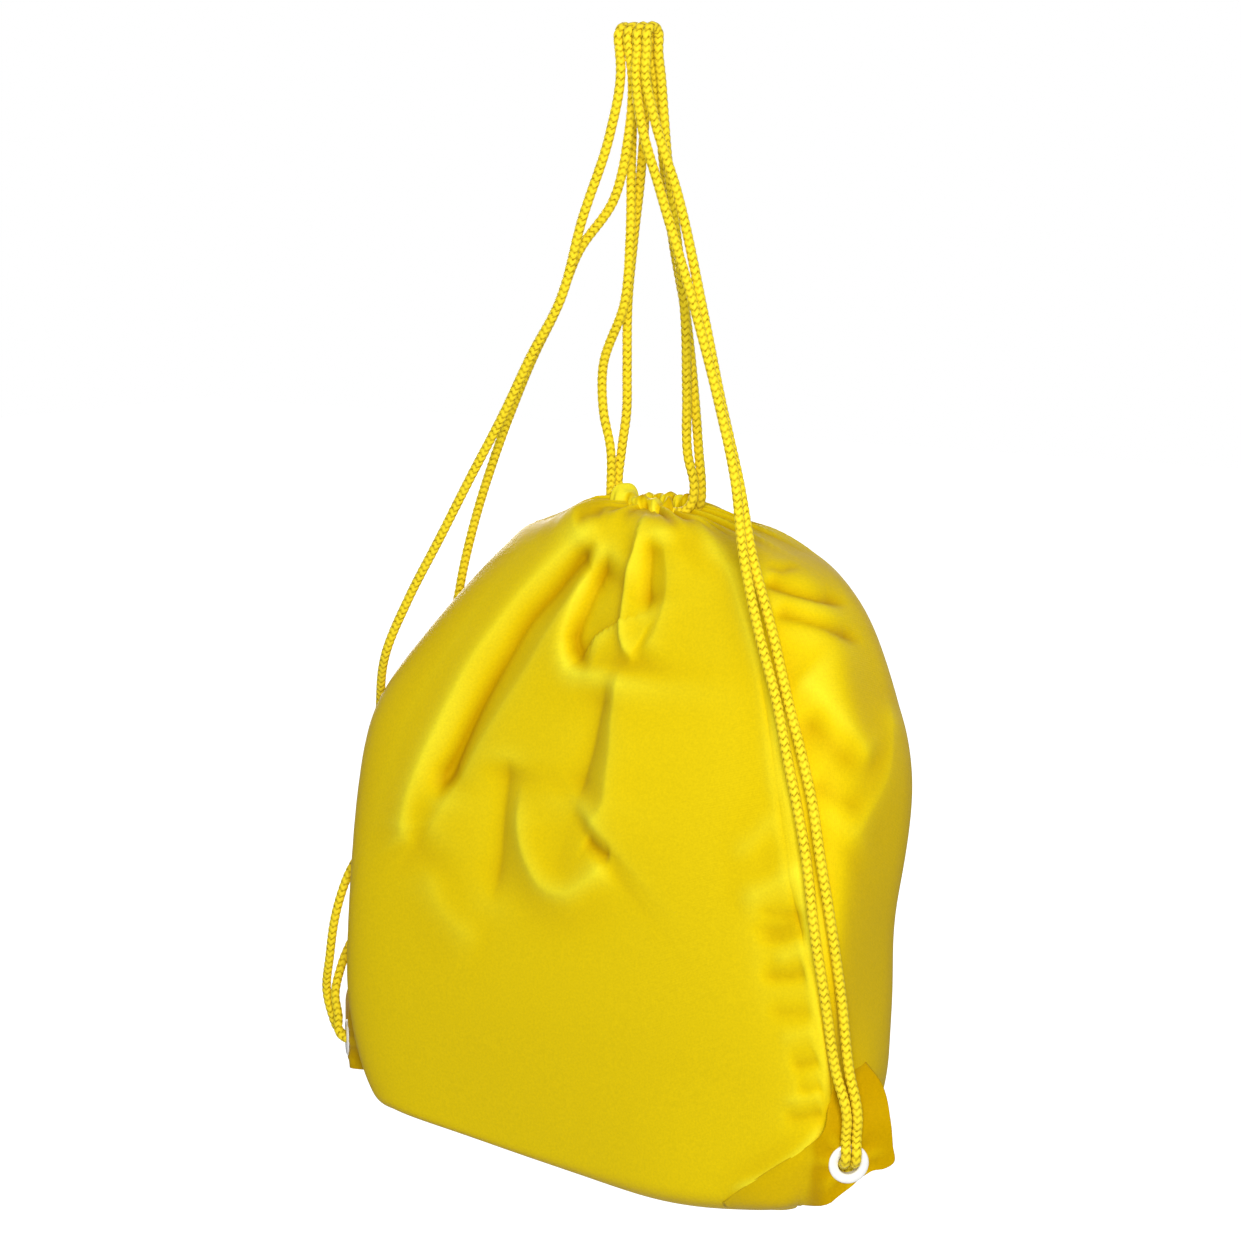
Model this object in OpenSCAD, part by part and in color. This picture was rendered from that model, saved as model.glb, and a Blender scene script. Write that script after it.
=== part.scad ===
// Drawstring backpack hanging by its cords, filled, with its mouth drawn shut.
// The origin is the middle of the hook that the cord loops hang on. +X is the right side of the bag
// as its front is looked at, -Y is the front and +Z is up. Sizes are in millimetres.

/* [Bag] */
// Width of the filled bag between its side seams
body_w = 306; // [280:2:330]
// Depth of the filled bag from front to back
body_d = 102; // [92:2:124]
// Height from the rim of the mouth to the underside
bag_h = 335; // [310:2:360]
// Height over which the bag narrows from its full width to the mouth
shoulder_h = 165; // [150:1:190]
// Width of the underside between the lower corners
floor_w = 238; // [220:2:260]
// Height over which the lower corners round off
corner_h = 76; // [60:1:90]
// Height over which the walls turn under into the underside
floor_r = 14; // [8:1:24]
// How far the middle of the underside sags
sag = 9; // [0:1:14]
// Thickness of the fabric wall
wall = 1.2; // [0.8:0.1:2]
// Number of pleats gathered around the mouth
pleats = 14; // [8:1:20]
// Height of a pleat from its middle to its crest
pleat_h = 3; // [0:0.5:4]
// How far the mouth lies behind the hook
mouth_back = 25; // [16:1:30]
// How far the middle of the filled body lies in front of the hook
belly_fore = 5; // [0:1:10]

/* [Casing] */
// Distance of the cord lane's side ends from the middle of the mouth
lane_w = 20; // [18:1:26]
// Distance of the cord lane's front from the middle of the mouth
lane_d = 10.5; // [10:0.5:13]
// Height of the stitched casing
casing_h = 18; // [16:1:24]
// Thickness of the casing with the cord in it
casing_t = 9; // [8:0.5:11]
// Angle left open at each side of the mouth for the cords
exit_angle = 40; // [34:1:46]

/* [Cord] */
// Diameter of the braided cord
cord_d = 5; // [4.4:0.1:5]
// Clearance around the cord in the casing and the eyelet
cord_gap = 0.3; // [0.25:0.05:0.5]
// Height of the hook above the rim of the mouth
hang = 228; // [210:2:250]
// Diameter of the hook that the cord loops fit over
hook_d = 6; // [5:0.5:10]
// How far to the right of the bag's middle the loops sit on the hook
loops_right = 6.5; // [0:0.5:8]
// Greatest swing of the bag to the front and to the back, in degrees
swing = 30; // [10:1:30]

/* [Corners] */
// Hole through the eyelet
eyelet_bore = 10.6; // [10.6:0.1:12]
// Outside diameter of the eyelet's flange
eyelet_od = 19.5; // [18:0.5:22]
// Thickness of the eyelet's flange
flange_t = 1.4; // [1:0.1:2]
// Wall of the eyelet's barrel
barrel_t = 0.5; // [0.4:0.1:0.8]
// Thickness of the washer behind the corner
washer_t = 0.8; // [0.6:0.1:1.2]
// Thickness of the bag's two layers and the patch sewn together
patch_t = 2.4; // [1.6:0.1:3]
// Distance from the middle of the eyelet to the tip of the corner
patch_reach = 22; // [20:1:26]
// Diameter of the knot behind the eyelet
knot_d = 12; // [11:0.5:14]
// Thickness of the knot
knot_t = 10; // [8:0.5:12]
// Height of the eyelets above the underside
eyelet_h = 34; // [30:1:44]

/* [Seams] */
// Width of the overlocked seam allowance inside the bag
seam_w = 6; // [4:0.5:10]
// Thickness of the seam allowance
seam_t = 1.2; // [0.8:0.1:2]

/* [Hidden] */

fabric_colour = [0.90, 0.78, 0.07];
cord_colour = [0.93, 0.80, 0.08];
eyelet_colour = [0.96, 0.96, 0.95];

fit = 0.1;              // running gap around the eyelet's barrel
seat = 0.3;             // gap between a soft piece and what carries it
lap_gap = 0.15;         // half the gap between the two halves of a cord at the hook

z_mouth = -hang;
z_floor = z_mouth - bag_h;
z_top = z_mouth - casing_h - seat;
z_shoulder = z_top - shoulder_h;
top_hw = lane_w + casing_t / 4;
top_hd = lane_d + casing_t / 4;
sleeve_w = cord_d + 4 * cord_gap;
sleeve_h = 2 * cord_d + 5 * cord_gap;

function mix(a, b, t) = a + (b - a) * t;
function clamp01(t) = min(1, max(0, t));
function smooth(t) = let (c = clamp01(t)) c * c * (3 - 2 * c);
function unit(v) = v / norm(v);

// ---- the bag's outer surface ----------------------------------------------------------------
// Level s runs down the bag: 0 at the casing, 1 at full width, 2 where the wall turns under and 3
// at the bottom seam. Angle b goes around it: 0 at the right, 90 at the back, 270 at the front.

function corner_share(z) = clamp01((z_floor + corner_h - z) / corner_h);
function body_half_w(z) =
    body_w / 2 - (body_w - floor_w) / 2 * (1 - sqrt(1 - pow(corner_share(z), 2)));

function level_z(s) =
    s <= 1 ? mix(z_shoulder, z_top, cos(90 * s))
    : s <= 2 ? mix(z_shoulder, z_floor + floor_r, s - 1)
    : z_floor + floor_r * (1 - pow(sin(90 * (s - 2)), 0.7));
// The right shoulder is rounded. The left one is a straight slope like a roof's, where the cord pulls
// the flat bag's corner up: a flat neck beside the mouth, then straight out to the full width.
left_neck = 0.42;
left_slope = 0.98;
function bent(t) = pow(1 + pow(t, -16), -1 / 16);
function left_run(down) = left_neck * (1 - exp(-down / 0.004)) + left_slope * down;
function left_share(s) = s <= 0 ? 0 : bent(left_run(1 - cos(90 * s))) / bent(left_run(1));
function level_half_w(s, side) =
    s <= 1 ? mix(top_hw, body_w / 2, side > 0 ? pow(sin(90 * s), 0.525) : left_share(s))
    : body_half_w(level_z(s));
function level_half_d(s) =
    s <= 1 ? mix(top_hd, body_d / 2, pow(sin(90 * s), 0.45))
    : s <= 2 ? body_d / 2
    : max(seat / 2, body_d / 2 * pow(cos(90 * (s - 2)), 0.5));
function level_y(z) = mix(mouth_back, -belly_fore, smooth((z_mouth - z) / (1.6 * shoulder_h)));
function sag_at(x, z) =
    sag * pow(clamp01((z_shoulder - z) / (z_shoulder - z_floor)), 2)
    * (1 - pow(min(1, abs(x) / (floor_w / 2)), 2));
function front_power(s) = mix(2.2, 9.5, smooth(s));
function back_power(s) = mix(2.2, 3, smooth(s));

// The seam lies at the side of the mouth, at the front edge of the body and under the corner.
function seam_angle(s) = 53 * smooth(s / 0.25) - 17 * smooth((s - 0.5) / 1.4);

function pleat(b, s) = pleat_h * cos(pleats * b) * pow(sin(180 * pow(clamp01(s), 0.6)), 2);

// The side wall gives way where a knot lies against it.
dimple = 5;
dimple_spread = 11;
function give_way(p) =
    let (k = p.x > 0 ? knot_middle(1) : knot_middle(-1), dy = p.y - k.y, dz = p.z - k.z)
    dimple * exp(-(dy * dy + dz * dz) / (2 * dimple_spread * dimple_spread))
    * smooth((abs(p.x) - body_w / 4) / (body_w / 8));

function skin(b, s) =
    let (
        z = level_z(s),
        n = sin(b) < 0 ? front_power(s) : back_power(s),
        r = pow(pow(abs(cos(b)), n) + pow(abs(sin(b)), n), -1 / n),
        flat_p = [level_half_w(s, cos(b)) * cos(b) * r, level_y(z) + level_half_d(s) * sin(b) * r, z],
        out = unit([cos(b), sin(b), 0]),
        p = flat_p + pleat(b, s) * out
    )
    p - [sign(p.x) * give_way(p), 0, sag_at(p.x, z)];

function skin_normal(b, s) =
    let (
        around = skin(b + 0.5, s) - skin(b - 0.5, s),
        down = skin(b, min(3, s + 0.01)) - skin(b, max(0, s - 0.01))
    )
    unit(cross(down, around));

function inner_skin(b, s, depth) =
    let (p = skin(b, s), n = skin_normal(b, s), flat_n = unit([n.x, n.y, 0]))
    s >= 3 ? [p.x, p.y, p.z + depth] : s == 0 ? p - depth * flat_n : p - depth * n;

// A wall between two grids of points, rows down the bag and columns along it, closed all round. Where
// it is round, the last column joins the first.
module wall_between(outer, inner, round = false) {
    rows = len(outer);
    cols = len(outer[0]);
    count = rows * cols;
    steps = round ? cols : cols - 1;
    points = concat([for (row = outer) each row], [for (row = inner) each row]);
    function quad(a, b, c, d) = [[a, b, c], [a, c, d]];
    function at(i, j) = i * cols + (j + cols) % cols;
    outside = [for (i = [0 : rows - 2], j = [0 : steps - 1])
        each quad(at(i, j), at(i, j + 1), at(i + 1, j + 1), at(i + 1, j))];
    inside = [for (i = [0 : rows - 2], j = [0 : steps - 1])
        each quad(count + at(i, j), count + at(i + 1, j),
                  count + at(i + 1, j + 1), count + at(i, j + 1))];
    last = rows - 1;
    ends = [for (j = [0 : steps - 1])
        each concat(quad(at(0, j), count + at(0, j), count + at(0, j + 1), at(0, j + 1)),
                    quad(at(last, j), at(last, j + 1), count + at(last, j + 1), count + at(last, j)))];
    sides = round ? [] : [for (i = [0 : rows - 2])
        each concat(quad(at(i, 0), at(i + 1, 0), count + at(i + 1, 0), count + at(i, 0)),
                    quad(at(i, steps), count + at(i, steps),
                         count + at(i + 1, steps), at(i + 1, steps)))];
    polyhedron(points = points, faces = concat(outside, inside, ends, sides), convexity = 8);
}

levels = concat([for (i = [0 : 12]) pow(i / 12, 1.6)], [for (i = [1 : 7]) 1 + i / 7],
                [for (i = [1 : 5]) 2 + i / 6], [3]);
panel_cols = 34;
seam_slit = 0.12;       // half the slit between the panels at a seam, in degrees

module panel(from_side) {
    // from_side 1 is the back, from the right seam to the left, and -1 is the front
    function angle(s, t) = from_side > 0
        ? mix(seam_slit - seam_angle(s), 180 + seam_angle(s) - seam_slit, t)
        : mix(180 + seam_angle(s) + seam_slit, 360 - seam_angle(s) - seam_slit, t);
    outer = [for (s = levels) [for (j = [0 : panel_cols]) skin(angle(s, j / panel_cols), s)]];
    inner = [for (s = levels)
        [for (j = [0 : panel_cols]) inner_skin(angle(s, j / panel_cols), s, wall)]];
    wall_between(outer, inner);
}

module front_panel() {
    color(fabric_colour) panel(-1);
}

module back_panel() {
    color(fabric_colour) panel(1);
}

// ---- the casings around the mouth -----------------------------------------------------------
function lane(angle) = [lane_w * cos(angle), mouth_back + lane_d * sin(angle), 0];
function lane_out(angle) = unit([lane_d * cos(angle), lane_w * sin(angle), 0]);
function oval(a, w, h) =
    let (r = pow(pow(abs(cos(a)), 4) + pow(abs(sin(a)), 4), -1 / 4))
    [w / 2 * cos(a) * r, h / 2 * sin(a) * r];

casing_rings = 18;
casing_sides = 16;
z_lane = z_mouth - casing_h / 2;

module casing(first_angle) {
    last_angle = first_angle + 180 - 2 * exit_angle;
    function ring(i, w, h) =
        let (a = mix(first_angle, last_angle, i / casing_rings))
        [for (k = [0 : casing_sides - 1])
            let (o = oval(360 * k / casing_sides, w, h))
            lane(a) + o.x * lane_out(a) + [0, 0, z_lane + o.y]];
    wall_between([for (i = [0 : casing_rings]) ring(i, casing_t, casing_h)],
                 [for (i = [0 : casing_rings]) ring(i, sleeve_w, sleeve_h)],
                 round = true);
}

module front_casing() {
    color(fabric_colour) casing(180 + exit_angle);
}

module back_casing() {
    color(fabric_colour) casing(exit_angle);
}

// ---- seam allowances inside the bag ---------------------------------------------------------
module seam_strip(points, across, up) {
    // points run along the seam, across and up are the strip's width and thickness at each of them
    outer = [for (i = [0 : len(points) - 1]) [points[i] - across[i], points[i] + across[i]]];
    inner = [for (i = [0 : len(points) - 1])
        [points[i] - across[i] + up[i], points[i] + across[i] + up[i]]];
    wall_between(outer, inner);
}

module side_seam(side) {
    steps = concat([for (i = [1 : 8]) 0.2 + i / 10], [for (i = [1 : 8]) 1 + i / 9]);
    function at(s) = side > 0 ? -seam_angle(s) : 180 + seam_angle(s);
    points = [for (s = steps) inner_skin(at(s), s, wall + 3 * seat)];
    into = [for (s = steps) -skin_normal(at(s), s)];
    along = [for (i = [0 : len(steps) - 1])
        unit(points[min(i + 1, len(steps) - 1)] - points[max(i - 1, 0)])];
    width = [for (i = [0 : len(steps) - 1]) side * unit(cross(into[i], along[i]))];
    seam_strip([for (i = [0 : len(steps) - 1]) points[i] + into[i] * seam_w / 2],
               [for (i = [0 : len(steps) - 1]) side * into[i] * seam_w / 2],
               [for (i = [0 : len(steps) - 1]) width[i] * seam_t]);
}

module left_side_seam() {
    color(fabric_colour) side_seam(-1);
}

module right_side_seam() {
    color(fabric_colour) side_seam(1);
}

module bottom_seam() {
    half_run = floor_w / 2 - 12;
    xs = [for (i = [-6 : 6]) half_run * i / 6];
    base = z_floor + wall + 2 * seat + seam_w / 2;
    color(fabric_colour)
        seam_strip([for (x = xs) [x, level_y(z_floor) - seam_t / 2, base - sag_at(x, z_floor)]],
                   [for (x = xs) [0, 0, seam_w / 2]],
                   [for (x = xs) [0, seam_t, 0]]);
}

// ---- cords ----------------------------------------------------------------------------------
// Catmull-Rom curve through hand-placed points, with a ring about every two and a half diameters.
function spline_point(p, i, t) =
    let (a = p[max(i - 1, 0)], b = p[i], c = p[i + 1], d = p[min(i + 2, len(p) - 1)])
    0.5 * (2 * b + (c - a) * t + (2 * a - 5 * b + 4 * c - d) * t * t
           + (3 * b - a - 3 * c + d) * t * t * t);
function spline(p, spacing) = concat(
    [for (i = [0 : len(p) - 2])
        let (n = max(1, round(norm(p[i + 1] - p[i]) / spacing)))
        each [for (k = [0 : n - 1]) spline_point(p, i, k / n)]],
    [p[len(p) - 1]]);
function carried(directions, i, across) =
    i == len(directions) ? []
    : let (flat_part = across - (across * directions[i]) * directions[i], here = unit(flat_part))
      concat([here], carried(directions, i + 1, here));

module cord(route, start_way, end_way) {
    sides = 8;
    path = spline(route, 2.5 * cord_d);
    last = len(path) - 1;
    ways = [for (i = [0 : last])
        i == 0 ? unit(start_way) : i == last ? unit(end_way) : unit(path[i + 1] - path[i - 1])];
    first_across = abs(ways[0].y) < 0.9 ? [0, 1, 0] : [0, 0, 1];
    across = carried(ways, 0, first_across);
    points = [for (i = [0 : last], k = [0 : sides - 1])
        let (a = 360 * (k + 0.5) / sides)
        path[i] + cord_d / 2 * (cos(a) * across[i] + sin(a) * cross(ways[i], across[i]))];
    skin_faces = [for (i = [0 : last - 1], k = [0 : sides - 1])
        let (m = (k + 1) % sides)
        each [[i * sides + k, (i + 1) * sides + k, (i + 1) * sides + m],
              [i * sides + k, (i + 1) * sides + m, i * sides + m]]];
    caps = [[for (k = [0 : sides - 1]) k], [for (k = [sides - 1 : -1 : 0]) last * sides + k]];
    color(cord_colour) polyhedron(points = points, faces = concat(skin_faces, caps), convexity = 8);
}

// The corner frames: +X out along the corner, -Y out of its front face and +Z up, for the right
// corner; the left one is mirrored. turn is how far the corner faces to its side.
corner_turn = 45;
right_eyelet_out = 12.7;
left_eyelet_out = 15.7;
right_eyelet_in = 14;
left_eyelet_in = 25;
function eyelet_xy(side) = [
    body_half_w(z_floor + eyelet_h) + (side > 0 ? right_eyelet_out : left_eyelet_out),
    level_y(z_floor) - body_d / 2 + (side > 0 ? right_eyelet_in : left_eyelet_in)
];
function at_corner(side, p) =
    let (a = corner_turn, o = eyelet_xy(side))
    [side * (o.x + p.x * cos(a) - p.y * sin(a)), o.y + p.x * sin(a) + p.y * cos(a),
     z_floor + eyelet_h + p.z];
function knot_face() = patch_t / 2 + washer_t + barrel_t + seat;
function knot_middle(side) = at_corner(side, [0, knot_face() + knot_t / 2, 0]);
module in_corner(side) {
    mirror([side > 0 ? 0 : 1, 0, 0])
        translate([eyelet_xy(side).x, eyelet_xy(side).y, z_floor + eyelet_h])
            rotate([0, 0, corner_turn])
                children();
}

// Each drawstring goes from its knot through the eyelet, over the hook, down into the casing on its
// own side, round the mouth and back over the hook to the same knot.
loop_r = (hook_d + cord_d) / 2;
loop_pitch = cord_d + 2 * cord_gap;
lap_drop = loop_r * tan(swing) + 0.5;
cord_in_bore = cord_d / 2 + 0.1;

// Where the two cords of one side hang from the hook, from the outer to the inner one
function loop_x(side, inner) = loops_right + side * loop_pitch * (inner ? 0.5 : 1.5);

// The routes below are drawn from the middle of the bag at its usual width, with the hook 16 mm in
// front of the mouth. Down the bag they keep with the mouth and the width, and up at the hook with
// the loops.
route_w = 306;
route_back = 16;
function placed(route) = [
    for (p = route)
        let (down = clamp01(p.z / z_mouth), wide = mix(1, body_w / route_w, down))
        [p.x * wide + loops_right * (1 - down), p.y + (mouth_back - route_back) * down, p.z]
];
function eyelet_end(side, lane_side, bow) = [
    for (p = [[0.4, -bow, 24], [0.2, -0.8 * bow, 13], [0, -6.2, 4], [0, -3.2, 0.6], [0, 0, 0]])
        at_corner(side, [p.x + lane_side * cord_in_bore, p.y, p.z]),
    at_corner(side, [lane_side * cord_in_bore, knot_face(), 0])
];

left_outer_route = [
    [-5, -8, -16], [-10, -10, -46], [-25, -13, -88], [-37, -16, -129], [-54, -18, -157],
    [-69, -20, -185], [-90, -24, -222], [-108, -27, -254], [-127, -30, -287], [-142, -31, -317],
    [-156, -20, -350], [-156, -20, -385], [-157, -27, -415], [-160, -45, -440], [-164, -49, -458],
    [-168, -50, -482]
];
left_inner_route = [
    [-1, -4, -18], [-3, -5, -50], [-12, -4, -78], [-33, -5, -104], [-49, -4, -135],
    [-62, -3, -155], [-80, -1, -187], [-93, 0, -214], [-106, 2, -243], [-116, 3, -272],
    [-123, 5, -294], [-135, 11, -316], [-154, 14, -342], [-158, 10, -375], [-159, -4, -411],
    [-159, -22, -439], [-160, -33, -464], [-165, -44, -488]
];
right_outer_route = [
    [9, -7, -16], [17, -10, -40], [32, -13, -73], [53, -19, -134], [67, -25, -173],
    [81, -30, -210], [93, -35, -247], [106, -38, -280], [118, -42, -312], [130, -47, -339],
    [137, -50, -357], [144, -54, -380], [152, -55, -416], [156, -52, -450], [161, -53, -482]
];
right_inner_route = [
    [4, -8, -16], [10, -12, -40], [25, -17, -73], [53, -25, -134], [69, -30, -173],
    [83, -36, -210], [91, -41, -243], [101, -43, -278], [114, -46, -312], [124, -51, -339],
    [130, -53, -357], [138, -57, -380], [146, -61, -416], [152, -60, -450], [156, -57, -482]
];

module strap_cord(side, inner, route, lane_side, bow) {
    top = [loop_x(side, inner), -loop_r, -lap_drop];
    cord(concat([top], placed(route), eyelet_end(side, lane_side, bow)),
         [0, 0, -1],
         at_corner(side, [0, 1, 0]) - at_corner(side, [0, 0, 0]));
}

module left_strap_cord_outer() {
    strap_cord(-1, false, left_outer_route, 1, 12);
}

module left_strap_cord_inner() {
    strap_cord(-1, true, left_inner_route, -1, 8);
}

module right_strap_cord_outer() {
    strap_cord(1, false, right_outer_route, 1, 6);
}

module right_strap_cord_inner() {
    strap_cord(1, true, right_inner_route, -1, 6);
}

right_drop = [
    [8, 8, -20], [12, 9, -66], [18, 8, -100], [22, 9, -134], [22, 11, -175],
    [22, 12, -205]
];
right_drop_inner = [
    [3, 10, -20], [6, 14, -66], [10, 16, -100], [16, 18, -134], [21, 19, -175],
    [24, 19, -205]
];
left_drop = [
    [-8, 6, -20], [-8, 5, -62], [-8, 4, -98], [-11, 4, -128], [-28, 8, -164], [-29, 10, -186],
    [-26, 12, -205]
];
left_drop_inner = [
    [-3, 9, -20], [-7, 12, -64], [-13, 14, -98], [-18, 16, -129], [-20, 18, -165],
    [-21, 19, -186], [-24, 19, -205]
];

function reversed(p) = [for (i = [len(p) - 1 : -1 : 0]) p[i]];
function lane_run(first, last, z) = [
    for (i = [0 : 5]) let (p = lane(mix(first, last, i / 5))) [p.x, p.y, z]];

module mouth_cord(side, drop_front, drop_back, z, exit_points, turn_x) {
    // down at the front, through the front casing, round the far side, back through the back one
    front_run = side > 0 ? lane_run(320, 220, z) : lane_run(220, 320, z);
    back_run = side > 0 ? lane_run(140, 40, z) : lane_run(40, 140, z);
    turn = [for (a = [-50, 0, 50])
        [-side * (lane_w * 0.82 + turn_x * cos(a)), mouth_back + 0.82 * lane_d * sin(a), z]];
    leave = [for (p = exit_points) [side * p.x, mouth_back - p.y, z + p.z]];
    come = [for (p = reversed(exit_points)) [side * p.x, mouth_back + p.y, z + p.z]];
    route = concat(
        [[loop_x(side, false), loop_r, -lap_drop]], placed(drop_front), leave, front_run, turn,
        back_run, come, reversed(placed(drop_back)), [[loop_x(side, true), loop_r, -lap_drop]]);
    cord(route, [0, 0, -1], [0, 0, 1]);
}

module left_mouth_cord() {
    mouth_cord(-1, left_drop, left_drop_inner, z_lane - cord_d / 2 - cord_gap / 2,
               [[26.5, 3.2, 14], [26.2, 4, 6], [22.5, 5.4, 1]], 4);
}

module right_mouth_cord() {
    mouth_cord(1, right_drop, right_drop_inner, z_lane + cord_d / 2 + cord_gap / 2,
               [[25.5, 3.2, 12], [24.6, 4, 5], [21.5, 5.4, 1]], 3.5);
}

// The cord's loops over the hook. The cord is halved where it swings: the loops keep its inner half
// there and the tails of the hanging cord its outer half, so that each is clear of the other.
module half_disc(part) {
    intersection() {
        translate([loop_r, 0]) circle(d = cord_d, $fn = 48);
        translate([part > 0 ? loop_r + lap_gap : loop_r - lap_gap - cord_d, -cord_d])
            square([cord_d, 2 * cord_d]);
    }
}

module arc(first, last) {
    // around the X axis, from the back up over the hook
    rotate([first, 0, 0])
        rotate([90, 0, 90])
            rotate_extrude(angle = last - first, $fn = 96)
                children();
}

module hook_loop() {
    // its inner half all round, and its outer half where the tails never swing to
    reach = 2 * swing + 1;
    arc(0, 180) half_disc(-1);
    arc(reach, 180 - reach) half_disc(1);
}

module loop_tail() {
    for (way = [0, 1]) mirror([0, way, 0]) {
        arc(0, swing - 1) half_disc(1);
        translate([0, 0, -lap_drop])
            rotate([0, 0, 90])
                linear_extrude(lap_drop)
                    half_disc(1);
    }
}

module loops_of(side) {
    color(cord_colour)
        for (inner = [true, false]) translate([loop_x(side, inner), 0, 0]) children();
}

module left_hook_loops() {
    loops_of(-1) hook_loop();
}

module right_hook_loops() {
    loops_of(1) hook_loop();
}

module left_loop_tails() {
    loops_of(-1) loop_tail();
}

module right_loop_tails() {
    loops_of(1) loop_tail();
}

// ---- knots, eyelets and corners -------------------------------------------------------------
barrel_r = eyelet_bore / 2 + barrel_t;

module along_bore() {
    // a profile drawn with its height towards the back of the corner, turned about the bore
    rotate([-90, 0, 0]) rotate_extrude($fn = 96) children();
}

module knot(side) {
    edge = 3;
    color(cord_colour)
        in_corner(side)
            translate([0, knot_face(), 0])
                along_bore() {
                    square([knot_d / 2 - edge, knot_t]);
                    translate([0, edge]) square([knot_d / 2, knot_t - 2 * edge]);
                    for (h = [edge, knot_t - edge])
                        translate([knot_d / 2 - edge, h])
                            intersection() {
                                circle(edge, $fn = 48);
                                translate([0, -edge]) square([edge, 2 * edge]);
                            }
                }
}

module left_knot() {
    knot(-1);
}

module right_knot() {
    knot(1);
}

module eyelet(side) {
    rim = flange_t / 2;
    color(eyelet_colour)
        in_corner(side)
            along_bore() {
                translate([eyelet_bore / 2, -patch_t / 2 - flange_t])
                    square([eyelet_od / 2 - rim - eyelet_bore / 2, flange_t]);
                translate([eyelet_od / 2 - rim, -patch_t / 2 - rim]) circle(rim, $fn = 32);
                translate([eyelet_bore / 2, -patch_t / 2 - rim])
                    square([barrel_t, patch_t + washer_t + rim + barrel_t]);
                translate([eyelet_bore / 2, patch_t / 2 + washer_t])
                    square([3 * barrel_t, barrel_t]);
            }
}

module left_eyelet() {
    eyelet(-1);
}

module right_eyelet() {
    eyelet(1);
}

module eyelet_washer(side) {
    color(eyelet_colour)
        in_corner(side)
            along_bore()
                translate([barrel_r + fit, patch_t / 2])
                    square([eyelet_od / 2 - 0.5 - barrel_r - fit, washer_t]);
}

module left_eyelet_washer() {
    eyelet_washer(-1);
}

module right_eyelet_washer() {
    eyelet_washer(1);
}

// A right-angled corner of the flat bag with its tip blunted, standing out to the side. Its base
// follows the body's side.
function patch_base(side, z) =
    let (
        a = corner_turn,
        o = eyelet_xy(side),
        hw = body_half_w(z_floor + eyelet_h + z),
        slack = seat + 0.4 + patch_t / 2 * sin(a)
    )
    (hw - give_way([side * hw, o.y - 6, z_floor + eyelet_h + z]) + slack - o.x) / cos(a);

module corner_patch(side) {
    tip = 4;
    top = patch_reach + 8;
    outline = concat(
        [[0.8 * patch_reach, patch_reach], [patch_reach, tip], [patch_reach, 0],
         [patch_reach - 2 * tip, -tip]],
        [for (i = [0 : 10]) let (z = mix(-22, top, i / 10)) [patch_base(side, z), z]]
    );
    color(fabric_colour)
        in_corner(side)
            difference() {
                translate([0, patch_t / 2, 0])
                    rotate([90, 0, 0])
                        linear_extrude(patch_t)
                            polygon(outline);
                rotate([90, 0, 0]) cylinder(r = barrel_r + fit, h = 3 * patch_t, center = true, $fn = 96);
            }
}

module left_corner_patch() {
    corner_patch(-1);
}

module right_corner_patch() {
    corner_patch(1);
}

front_panel();
back_panel();
front_casing();
back_casing();
left_side_seam();
right_side_seam();
bottom_seam();
left_strap_cord_outer();
left_strap_cord_inner();
right_strap_cord_outer();
right_strap_cord_inner();
left_mouth_cord();
right_mouth_cord();
left_hook_loops();
right_hook_loops();
left_loop_tails();
right_loop_tails();
left_knot();
right_knot();
left_eyelet();
right_eyelet();
left_eyelet_washer();
right_eyelet_washer();
left_corner_patch();
right_corner_patch();
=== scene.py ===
"""Drawstring backpack: a filled bag of woven polyester, its mouth gathered on two drawcords that
run down to white eyelets at the lower corners. It hangs by the cords. Sizes in the tables are
millimetres and are turned to metres as each mesh is made."""
import bpy
import numpy as np
from mathutils import Matrix, Vector


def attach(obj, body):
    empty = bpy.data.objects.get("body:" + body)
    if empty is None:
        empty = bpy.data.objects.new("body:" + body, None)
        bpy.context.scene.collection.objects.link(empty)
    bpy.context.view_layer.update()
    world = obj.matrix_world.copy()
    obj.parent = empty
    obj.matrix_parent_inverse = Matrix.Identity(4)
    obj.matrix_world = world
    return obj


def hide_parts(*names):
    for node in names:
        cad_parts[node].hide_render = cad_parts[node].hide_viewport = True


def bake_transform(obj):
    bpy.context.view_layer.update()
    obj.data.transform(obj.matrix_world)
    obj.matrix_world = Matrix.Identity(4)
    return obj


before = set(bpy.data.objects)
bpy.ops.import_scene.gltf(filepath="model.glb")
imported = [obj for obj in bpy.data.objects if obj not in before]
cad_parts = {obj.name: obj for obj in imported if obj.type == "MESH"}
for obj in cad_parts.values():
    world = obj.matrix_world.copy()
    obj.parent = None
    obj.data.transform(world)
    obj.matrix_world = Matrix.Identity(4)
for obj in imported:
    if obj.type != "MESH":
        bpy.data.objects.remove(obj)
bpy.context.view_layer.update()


# ---- Camera -------------------------------------------------------------------------------------
# A long lens from the front right and a little above the middle of the bag.
view_turn, view_rise = np.radians(36.1), np.radians(9.2)
view_centre = Vector((-0.011, 0.009, -0.291))
view_distance = 1.5
sensor_width = 36.0
focal_share = 2942 / 1241       # focal length over frame width

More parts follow.
